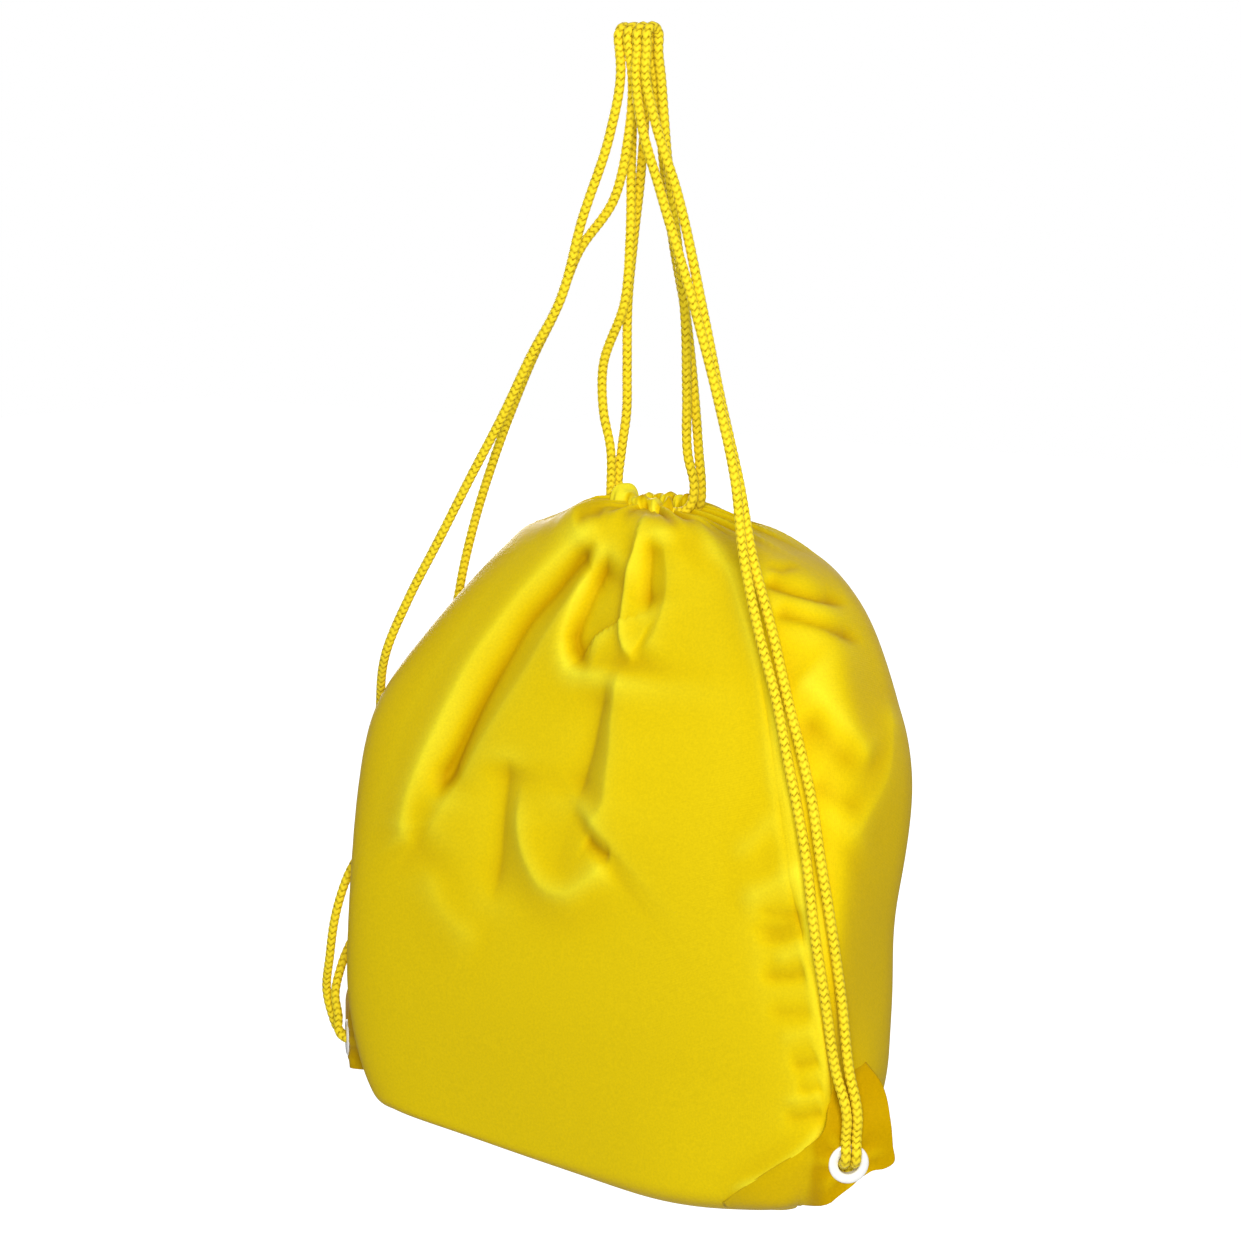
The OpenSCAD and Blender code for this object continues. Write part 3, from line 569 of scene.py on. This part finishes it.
# Folds behind and on the left side, given by angle round the bag and level down it: soft gathers
# that run down from the mouth, drags towards the left eyelet, and a sag above the bottom.
back_folds = [
    ([(38, 0.04), (36, 0.25), (30, 0.55)], 3.0, 8, 5, 1.3, 0.15, 0.35),
    ([(58, 0.03), (60, 0.20), (58, 0.45), (52, 0.80)], -4.5, 9, 7, 1.3, 0.15, 0.35),
    ([(76, 0.03), (77, 0.25), (76, 0.55), (72, 1.00)], 4.0, 10, 6, 1.3, 0.15, 0.4),
    ([(97, 0.03), (99, 0.20), (104, 0.50), (107, 0.75)], -4.5, 7, 10, 1.3, 0.15, 0.35),
    ([(112, 0.03), (117, 0.25), (124, 0.60), (129, 0.95)], 4.0, 6, 10, 1.3, 0.15, 0.4),
    ([(132, 0.04), (140, 0.30), (150, 0.55), (155, 0.80)], -4.0, 10, 7, 1.3, 0.15, 0.35),
    ([(172, 0.15), (176, 0.50), (184, 1.10), (190, 1.45)], -3.5, 12, 7, 1.3, 0.25, 0.3),
    ([(188, 0.30), (194, 0.70), (199, 1.15)], 2.5, 9, 7, 1.4, 0.3, 0.3),
    ([(196, 1.25), (204, 1.55), (212, 1.85)], -2.2, 5, 8, 1.3, 0.3, 0.15),
    ([(160, 1.45), (180, 1.60), (198, 1.85)], 2.2, 12, 6, 1.4, 0.3, 0.25),
    ([(48, 1.50), (75, 1.62), (104, 1.60), (130, 1.48)], 3.0, 16, 8, 1.4, 0.3, 0.3),
    ([(66, 1.25), (84, 1.33), (100, 1.30)], -2.0, 9, 12, 1.5, 0.35, 0.35),
]

# Broad swells and hollows of the filling: middle, height and reach, all in mm.
swells = [((118, 10, -300), -2, 40), ((112, -10, -272), 4, 34), ((150, 12, -352), 4, 34),
          ((150, 20, -428), -2.5, 30), ((60, -40, -350), 5, 70), ((0, -56, -545), -3, 95),
          ((153, -14, -498), 5, 24), ((140, 36, -512), -7, 34), ((-80, -50, -562), -3, 60),
          ((62, -52, -566), 4, 50), ((-26, 8, -243), 6, 15), ((-12, 0, -244), 3, 12),
          ((-153, -5, -490), 8, 26)]


def fold_height(points, normals, folds):
    """How far the folds push each point out. A fold is high on its line and falls away on each
    side as exp(-(distance / width) ^ sharpness), and fades in and out along the line."""
    height = np.zeros(points.shape[:-1])
    for line, high, left, right, sharp, fade_in, fade_out in folds:
        line = curve_through(line, 6.0)
        margin = 4 * max(left, right)
        low, top = line.min(axis=0) - margin, line.max(axis=0) + margin
        near = np.all((points > low) & (points < top), axis=-1)
        d, share, away, way = distance_to(points[near], line)
        on_left = np.sum(np.cross(normals[near], way) * away, -1) > 0
        width = np.where(on_left, left, right)
        fade = smooth(share / fade_in) * smooth((1 - share) / fade_out)
        height[near] += high * fade * np.exp(-(d / width) ** sharp)
    return height


def hanging_pleats(b, s):
    """Fine irregular gathers that run down from the casing and die out: a sum of cosines of the
    angle."""
    waves = sum(h * np.cos(np.radians(n * b + p)) for h, n, p in
                ((1.0, 13, 40), (0.9, 21, 150), (0.7, 34, 260), (0.5, 47, 20)))
    return waves * np.exp(-(s / 0.08) ** 1.2)


def local_relief(height, reach):
    """How a point stands above the mean of the points round it: the height less itself blurred
    that many times by a third of each neighbour, along and across."""
    blurred = height.copy()
    for _ in range(reach):
        blurred = (blurred + np.roll(blurred, 1, 1) + np.roll(blurred, -1, 1)) / 3
        padded = np.pad(blurred, ((1, 1), (0, 0)), mode="edge")
        blurred = (padded[:-2] + padded[1:-1] + padded[2:]) / 3
    return height - blurred


panel_rows, cols = 230, 196
groove_depth, groove_w = 0.9, 1.6       # along the right seam
groove_from, groove_grows = 0.35, 0.3   # the level where it starts, and how fast it deepens
relief_passes, relief_range = 26, 6.5   # mm of relief from the deepest painted shade to the lightest painted highlight
tilt_share, tilt_middle, tilt_least = 0.36, 0.85, 0.4   # painted light: what turning towards the key lamp adds to the tone

levels = np.linspace(0, 3, 751)
track = filled_skin(np.full_like(levels, 270.0), levels)
run = np.r_[0, np.cumsum(np.linalg.norm(np.diff(track, axis=0), axis=1))]
rows = np.interp(np.linspace(0, run[-1], panel_rows), run, levels)
cloth_run = np.interp(rows, levels, run)

level = rows[:, None]
lean = seam_angle(level)
across = np.linspace(0, 1, cols)[None, :]
front_angle = 180 + lean + (180 - 2 * lean) * across
back_angle = 360 - lean + (180 + 2 * lean) * across
angle = np.hstack([front_angle, back_angle[:, 1:-1]])
skin = filled_skin(angle, level)
normal = ring_normals(skin)
far_side = [(filled_skin(*np.array(line, float).T), *shape) for line, *shape in back_folds]
folded = (hanging_pleats(angle, level)
          + fold_height(skin, normal, front_folds + side_folds + pucker_folds + far_side))
seam_gap = np.minimum(np.minimum(across, 1 - across) * 290, 9)
seam_gap = np.hstack([seam_gap, seam_gap[:, 1:-1]])
on_right = np.cos(np.radians(angle)) > 0
groove = (-groove_depth * on_right * np.exp(-(seam_gap / groove_w) ** 2)
          * smooth((level - groove_from) / groove_grows))
broad = sum(h * np.exp(-np.sum((skin - np.array(c)) ** 2, -1) / reach ** 2)
            for c, h, reach in swells)
keep = smooth((3 - level) / 0.5)
skin = skin + ((folded + groove) * keep + broad)[..., None] * normal
# Painted shade and light: the tone is darker in fold valleys and lighter on crests, and darker
# where the cloth turns away from the key lamp, whose direction this is.
facing_key_lamp = normal @ unit(np.array([0.42, -0.85, 0.30]))
painted_shade_map = np.clip(0.5 + local_relief(folded + groove, relief_passes) * keep / relief_range
                     + tilt_share * (np.maximum(facing_key_lamp, tilt_least) - tilt_middle), 0, 1)

# Woven polyester, 210 denier, coated inside: a fine plain weave, satiny where it bends to the
# light.
# Its colour carries painted shade, deeper and warmer in the valleys of its folds and where it
# turns away from the key lamp, and painted highlight on the crests. Real threads are 0.25 mm
# apart, too fine to show, so they are drawn 0.8 mm apart.
thread = 0.0008


def fabric(name, valley, cloth, crest):
    """Plain woven polyester in one colour: weave, crumple, and painted shade in its fold valleys
    with painted highlight on the crests.
    """
    m, out = new_material(name)
    uv_of = add_node(m, "ShaderNodeUVMap", uv_map="cloth")
    threads = [add_node(m, "ShaderNodeTexWave",
                        {"Vector": uv_of.outputs["UV"], "Scale": 2 * np.pi / thread / 20,
                         "Distortion": 0.6, "Detail": 1.0, "Detail Scale": 2.0},
                        wave_type="BANDS", bands_direction=way) for way in "XY"]
    weave = add_node(m, "ShaderNodeMath", {k: threads[k].outputs["Fac"] for k in (0, 1)},
                     operation="MULTIPLY")
    place = add_node(m, "ShaderNodeTexCoord")
    blotch = add_node(m, "ShaderNodeTexNoise", {"Vector": place.outputs["Object"], "Scale": 800.0,
                                                 "Detail": 3.0, "Roughness": 0.6})
    relief_and_shade = add_node(m, "ShaderNodeAttribute", attribute_name="relief_and_shade")
    # Painted shade and highlight: the shade tone picks the valley colour, the cloth's own yellow
    # or the crest colour.
    painted_shade_colour = colour_ramp(m, relief_and_shade.outputs["Fac"], (0.1, valley), (0.5, cloth), (0.85, crest))
    grain = add_node(m, "ShaderNodeMapRange", {"Value": blotch.outputs["Fac"], "From Min": 0.3,
                                               "From Max": 0.7, "To Min": 0.93, "To Max": 1.05})
    coloured = add_node(m, "ShaderNodeVectorMath", {0: painted_shade_colour, "Scale": grain.outputs["Result"]},
                        operation="SCALE")
    weave_bump = add_node(m, "ShaderNodeBump", {"Height": weave.outputs["Value"], "Strength": 0.25,
                                                "Distance": 0.0002})
    crumple = add_node(m, "ShaderNodeTexNoise", {"Vector": place.outputs["Object"], "Scale": 90.0,
                                                 "Detail": 4.0, "Distortion": 0.4})
    crumple_bump = add_node(m, "ShaderNodeBump",
                            {"Height": crumple.outputs["Fac"], "Strength": 0.1,
                             "Distance": 0.0012, "Normal": weave_bump.outputs["Normal"]})
    principled(m, out, {"Base Color": coloured.outputs["Vector"], "Roughness": 0.48,
                        "Specular IOR Level": 0.14, "Specular Tint": linear("#FFE24A"),
                        "Sheen Weight": 0.07, "Sheen Roughness": 0.4,
                        "Sheen Tint": linear("#FFE46A"), "Normal": crumple_bump.outputs["Normal"]})
    return m


# The valley colour #BE9600 is painted shade and the crest colour #EEE02C painted highlight;
# #E1C50B is the cloth's own yellow.
woven_polyester = fabric("woven_polyester", "#BE9600", "#E1C50B", "#EEE02C")


def sharp_rim(panel, n_rows, n_cols):
    """Marks the edges round a grid as sharp, so its shading runs up to the seam and does not turn
    over it."""
    ends = np.empty(len(panel.data.edges) * 2, np.int32)
    panel.data.edges.foreach_get("vertices", ends)
    row, col = np.divmod(ends.reshape(-1, 2), n_cols)
    rim = np.zeros(len(row), bool)
    for place, last in ((row, n_rows - 1), (col, n_cols - 1)):
        rim |= np.all(place == 0, axis=1) | np.all(place == last, axis=1)
    panel.data.attributes.new("sharp_edge", "BOOLEAN", "EDGE").data.foreach_set("value", rim)


panel_columns = {"front": np.arange(cols), "back": np.r_[np.arange(cols - 1, 2 * cols - 2), 0]}
for word, chosen in panel_columns.items():
    points, shade_tone = skin[:, chosen], painted_shade_map[:, chosen]
    width = np.linspace(-0.5, 0.5, cols)[None, :] * cloth_cut[word][0]
    uv = np.stack(np.broadcast_arrays(width, cloth_run[:, None] * 0.001), -1)
    panel = grid_object(f"{word}_cloth", points[:, ::-1], woven_polyester, uv=uv[:, ::-1],
                        shade_tone=shade_tone[:, ::-1])
    sharp_rim(panel, *points.shape[:2])
    wall = panel.modifiers.new("cloth thickness", "SOLIDIFY")
    wall.thickness = cloth_t * 0.001
    wall.offset = -1.0
    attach(panel, "bag")
    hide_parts(f"{word}_panel")


# ---- Casings ------------------------------------------------------------------------------------
# The panels' top hems, folded over and stitched down as tubes for the cords. Pulled together on
# the cords they crumple into short upright humps.
casing_w, casing_h = 9.0, 18.0


def hump(along, middle, reach):
    """exp(-((along - middle) / reach)^2): 1 in the middle, and falling off on both sides."""
    return np.exp(-((along - middle) / reach) ** 2)


def casing_points(front):
    """An oblong section, |p|^3 + |q|^3 = 1, carried along half the mouth's oval. Its face is
    pushed in and out by cosines of the place along it, and its top edge up and down by others. Its
    ends are drawn in."""
    u = np.linspace(0, 1, 170)[:, None]
    v = 2 * np.pi * (np.arange(56) + 0.5)[None, :] / 56
    along = u if front else 1 - u
    a = np.radians(204 + 116 * u if front else 40 + 100 * u)
    wobble = 0.35 * np.sin(v) + 0.15 * np.sin(2 * v + 9 * along)
    ruck = (0.8 * np.cos(2 * np.pi * (3.6 * along + 0.6 * wobble) + 0.7)
            + 0.45 * np.cos(2 * np.pi * (6.7 * along - wobble) + 2.1)
            + 0.2 * np.cos(2 * np.pi * (13.0 * along + 1.5 * wobble) + 4.0)
            + 3.2 * front * hump(along, 0.17, 0.16))
    crest = (0.5 * np.cos(2 * np.pi * 5.3 * along + 1.0)
             + 6.0 * front * hump(along, 0.17, 0.15) + 1.2 * hump(along, 0.55, 0.10)
             - 2.5 * hump(along, 0.82, 0.05) + 1.5 * hump(along, 0.94, 0.05))
    r = (np.abs(np.cos(v)) ** 3 + np.abs(np.sin(v)) ** 3) ** (-1 / 3)
    shut = np.sqrt(np.clip(1 - np.abs(2 * u - 1) ** 24, 0.02, 1))
    pushed = ruck * np.sign(np.cos(v)) * np.abs(np.cos(v)) ** 0.5
    out = (casing_w / 2 * np.cos(v) * r + pushed) * shut
    rise = (casing_h / 2 * np.sin(v) * r + crest * np.clip(np.sin(v), 0, 1)) * (0.4 + 0.6 * shut)
    nx, ny = lane_d * np.cos(a), lane_w * np.sin(a)
    size = np.hypot(nx, ny)
    points = np.stack(np.broadcast_arrays(lane_w * np.cos(a) + out * nx / size,
                                          mouth_back + lane_d * np.sin(a) + out * ny / size,
                                          z_lane + rise), -1)
    # Painted shade and highlight: lighter where the face is pushed out, darker where it is pushed
    # in and towards the drawn-in ends.
    shade_tone = np.clip(0.5 + ruck / 3.2 - 0.3 * (1 - shut), 0, 1)
    return points, np.broadcast_to(shade_tone, points.shape[:2])


def closed_ends(points, shade_tone):
    """A tube's grid with its first and last rings drawn in to one point each, and its shade tone
    there cut to 0.4 of the next ring's, as painted shade at the closed ends.
    """
    ends = [np.broadcast_to(points[k].mean(axis=0), points[k].shape) for k in (0, -1)]
    near = [0.02 * points[k] + 0.98 * e for k, e in zip((0, -1), ends)]
    return (np.concatenate([near[0][None], points, near[1][None]]),
            np.concatenate([shade_tone[:1] * 0.4, shade_tone, shade_tone[-1:] * 0.4]))


for word in ("front", "back"):
    points, shade_tone = closed_ends(*casing_points(word == "front"))
    run_along = np.linspace(0, 0.045, points.shape[0])[:, None]
    round_it = np.arange(points.shape[1])[None, :] * 0.00085
    uv = np.stack(np.broadcast_arrays(round_it, run_along), -1)
    casing = grid_object(f"{word}_hem", points[:, ::-1], woven_polyester, uv=uv[:, ::-1],
                         shade_tone=shade_tone[:, ::-1], wrap=True)
    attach(casing, "bag")
    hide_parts(f"{word}_casing")


# ---- Corner ears --------------------------------------------------------------------------------
# The flat bag's lower corners, left standing out where the seams meet: both panels and a patch
# between them, with the eyelet through all of it.
hole_r = 5.9
ear_bend, ear_flat_to = 0.024, 14.0     # bend per square mm above that height
ear_outline = {
    1: [(12, 43), (18, 35), (20.4, 20), (21.5, 8), (22, -1), (18, -3.5), (11.7, -4.5), (-3, -15),
        (-17, -24.5), (-30, -28.5), (-44, -31), (-54, -30), (-50, -24), (-42, -15), (-30, -3),
        (-19, 7), (-12, 16), (-9, 28), (-2, 42)],
    -1: [(14, 34), (18.5, 26), (20.5, 13), (22.3, 5), (21.6, 0.5), (14, -5), (2, -11), (-10, -14),
         (-18, -12), (-22, -4), (-20, 6), (-16, 17), (-10, 31), (2, 38)],
}


def bag_behind(side, x, z):
    """How far behind the corner's plane the bag's wall lies at each of these places on it: the
    mean of the wall's points that face the corner, weighted by exp(-distance^2 / 8), or far off
    where there are none."""
    face = np.array(at_corner(side, 0, -1, 0)) - np.array(at_corner(side, 0, 0, 0))
    wall = skin[(normal @ face > 0.1) & (skin[..., 0] * side > 95) & (skin[..., 2] < -470)]
    a, (ox, oy) = np.radians(corner_turn), eyelet_xy[side]
    out, back = side * wall[:, 0] - ox, wall[:, 1] - oy
    wx, wy = out * np.cos(a) + back * np.sin(a), back * np.cos(a) - out * np.sin(a)
    gap = (x.reshape(-1, 1) - wx) ** 2 + (z.reshape(-1, 1) - (wall[:, 2] - eyelet_z)) ** 2
    weight = np.exp(-gap / 8)
    return ((weight @ wy + 1e-4 * 60) / (weight.sum(axis=1) + 1e-4)).reshape(x.shape)


def ear_points(side):
    """Rings from the hole's edge out to the ear's outline, spread evenly between them, in the
    corner's own frame. It is flat by the eyelet, bends back as the square of the height above it,
    and lies on the bag's wall wherever that is in front of it; its inner end lies on that wall,
    down to the bottom."""
    closed = ear_outline[side] + ear_outline[side][:1]
    edge = curve_through([(x, 0, z) for x, z in closed], 0.8)
    turn = np.unwrap(np.arctan2(edge[:, 2], edge[:, 0]))
    order = np.argsort(turn)
    theta = np.linspace(turn.min(), turn.max(), 141)[:-1]
    reach = np.interp(theta, turn[order], np.hypot(edge[:, 0], edge[:, 2])[order])
    t = np.linspace(0, 1, 40)[:, None]
    r = hole_r + (reach - hole_r)[None, :] * t
    x, z = r * np.cos(theta), r * np.sin(theta)
    pull = np.cos(7 * theta + 0.8) * np.exp(-((r - 12) / 5) ** 2)
    flat = ear_bend * np.maximum(z - ear_flat_to, 0) ** 2 + 0.4 * pull
    wall = bag_behind(side, x, z) + 0.3 + 1.6 * t ** 6
    nearer = 0.5 * (flat + wall - np.sqrt((flat - wall) ** 2 + 4.0))
    y = nearer + (np.minimum(wall - 1.2, 45) - nearer) * smooth((-9 - x) / 12)
    # Painted shade: the ear is given a dark tone near the valley colour, a little lighter towards
    # its inner end and varied along its pull wrinkles.
    shade_tone = np.clip(0.10 + 0.20 * smooth((-14 - x) / 4) - 0.1 * pull, 0, 1)
    return np.stack(at_corner(side, x, y, z), -1), shade_tone, np.stack([x, z], -1) * 0.001


ears = []
for side, word in ((1, "right"), (-1, "left")):
    points, shade_tone, uv = ear_points(side)
    ear = grid_object(f"{word}_ear", points[::side], woven_polyester, uv=uv[::side],
                      shade_tone=np.ascontiguousarray(shade_tone[::side]), wrap=True)
    wall = ear.modifiers.new("two layers of cloth", "SOLIDIFY")
    wall.thickness = patch_t * 0.001
    wall.offset = 0.0
    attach(ear, "bag")
    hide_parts(f"{word}_corner_patch")
    ears.append(ear)


# ---- Eyelets ------------------------------------------------------------------------------------
# White enamelled brass eyelets for a 10 mm hole: a rolled flange in front, a barrel through the
# cloth, and its end spread over a flat washer behind.
eyelet_bore, barrel_t = 10.6, 0.5

enamelled_brass, out = new_material("white_enamelled_brass")
place = add_node(enamelled_brass, "ShaderNodeTexCoord")
flow = add_node(enamelled_brass, "ShaderNodeTexNoise",
                {"Vector": place.outputs["Object"], "Scale": 300.0, "Detail": 2.0})
white = colour_ramp(enamelled_brass, flow.outputs["Fac"], (0.0, "#ECECE8"), (1.0, "#FAFAF7"))
skin_bump = add_node(enamelled_brass, "ShaderNodeBump",
                     {"Height": flow.outputs["Fac"], "Strength": 0.08, "Distance": 0.0003})
principled(enamelled_brass, out,
           {"Base Color": white, "Roughness": 0.22, "Coat Weight": 0.4, "Coat Roughness": 0.1,
            "Normal": skin_bump.outputs["Normal"]})


def turned_ring(name, profile, side):
    """A closed profile, radius and height in front of the corner, turned once round the bore."""
    p = np.array(profile)
    a = 2 * np.pi * np.arange(72)[None, :] / 72
    r, h = p[:, :1], p[:, 1:]
    points = np.stack(at_corner(side, r * np.cos(a), -h + 0 * a, r * np.sin(a)), -1)
    return grid_object(name, points[::side], enamelled_brass, wrap=True, ring=True)


bore_r, cloth_face = eyelet_bore / 2, patch_t / 2
crown = [(7.5 + 2.3 * np.cos(t), cloth_face + 0.1 + 1.3 * np.sin(t))
         for t in np.linspace(0, np.pi, 15)]
barrel = [(bore_r, 0.6), (bore_r, -1.4), (bore_r + 0.05, -2.0), (bore_r + 0.3, -2.4), (6.2, -2.5),
          (6.8, -2.4), (6.8, -2.05), (5.95, -2.05), (bore_r + barrel_t, -1.6),
          (bore_r + barrel_t, 0.9), (6.6, cloth_face + 0.05), (8.4, cloth_face + 0.05)]
back_ring = [(5.95, -1.25), (9.0, -1.25), (9.25, -1.4), (9.25, -1.75), (9.0, -1.98), (7.2, -2.0),
             (5.95, -2.0)]
for side, word in ((1, "right"), (-1, "left")):
    for name, profile, node in ((f"{word}_rolled_eyelet", crown + barrel, f"{word}_eyelet"),
                                (f"{word}_back_washer", back_ring, f"{word}_eyelet_washer")):
        ring = turned_ring(name, profile, side)
        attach(ring, "bag")
        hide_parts(node)


# ---- Seam allowances ----------------------------------------------------------------------------
# The raw edges of both panels, overlocked together inside the bag: their own solids, with the
# overlock thread drawn across them every 3 mm.
overlock_pitch = 0.003      # metres

overlocked, out = new_material("overlocked_polyester")
place = add_node(overlocked, "ShaderNodeTexCoord")
loops = add_node(overlocked, "ShaderNodeTexWave",
                 {"Vector": place.outputs["Object"], "Scale": 2 * np.pi / overlock_pitch / 20,
                  "Distortion": 2.0, "Detail": 1.0}, wave_type="BANDS", bands_direction="Z")
thread_tone = colour_ramp(overlocked, loops.outputs["Fac"], (0.0, "#C9A304"), (1.0, "#EDCD26"))
loop_bump = add_node(overlocked, "ShaderNodeBump",
                     {"Height": loops.outputs["Fac"], "Strength": 0.4, "Distance": 0.0004})
principled(overlocked, out,
           {"Base Color": thread_tone, "Roughness": 0.6, "Specular IOR Level": 0.2,
            "Normal": loop_bump.outputs["Normal"]})
for name in ("left_side_seam", "right_side_seam", "bottom_seam"):
    node_mesh = bpy.data.objects[name].data
    node_mesh.materials.clear()
    node_mesh.materials.append(overlocked)


# ---- Stage --------------------------------------------------------------------------------------
# A plain white floor well below the hanging bag, a soft lamp to the right in front of it, a weaker
# one behind it, and an even white surround.
floor_material, out = new_material("white_paper")
rays = add_node(floor_material, "ShaderNodeLightPath")
matt = add_node(floor_material, "ShaderNodeBsdfDiffuse", {"Color": (0.8, 0.8, 0.8, 1)})
glow = add_node(floor_material, "ShaderNodeEmission",
                {"Color": (1, 1, 1, 1), "Strength": rays.outputs["Is Camera Ray"]})
both = add_node(floor_material, "ShaderNodeAddShader",
                {0: matt.outputs["BSDF"], 1: glow.outputs["Emission"]})
floor_material.node_tree.links.new(both.outputs["Shader"], out.inputs["Surface"])
floor_z, floor_reach = -1250.0, 9000.0
square = np.array([[(x * floor_reach, y * floor_reach, floor_z) for x in (-1, 1)]
                   for y in (-1, 1)])
floor = grid_object("floor", square, floor_material)

# The surround is full white where the camera sees it, straight on or in a gloss, and dimmer as a
# light.
dim_white, full_white = 0.31, 1.0
world = bpy.data.worlds.new("surround")
bpy.context.scene.world = world
world.use_nodes = True
world.node_tree.nodes.clear()
rays = add_node(world, "ShaderNodeLightPath")
seen = add_node(world, "ShaderNodeMath", {0: rays.outputs["Is Camera Ray"],
                                          1: rays.outputs["Is Glossy Ray"]}, operation="MAXIMUM")
seen = add_node(world, "ShaderNodeMath", {0: seen.outputs["Value"],
                                          1: rays.outputs["Is Transmission Ray"]},
                operation="MAXIMUM")
strength = add_node(world, "ShaderNodeMapRange", {"Value": seen.outputs["Value"],
                                                  "To Min": dim_white, "To Max": full_white})
shine = add_node(world, "ShaderNodeBackground", {"Color": (1, 1, 1, 1),
                                                 "Strength": strength.outputs["Result"]})
add_node(world, "ShaderNodeOutputWorld", {"Surface": shine.outputs["Background"]})


def add_lamp(name, place, size, power):
    """A square soft lamp that faces the bag's middle."""
    light = bpy.data.lights.new(name, "AREA")
    light.size = size
    light.energy = power
    lamp = bpy.data.objects.new(name, light)
    lamp.location = place
    aim = Vector((0, -0.02, -0.40)) - Vector(place)
    lamp.rotation_mode = "QUATERNION"
    lamp.rotation_quaternion = aim.to_track_quat("-Z", "Y")
    bpy.context.scene.collection.objects.link(lamp)


add_lamp("key", (0.84, -1.00, 0.14), 0.6, 18.5)
add_lamp("fill", (-1.10, 0.95, -0.05), 0.8, 12)
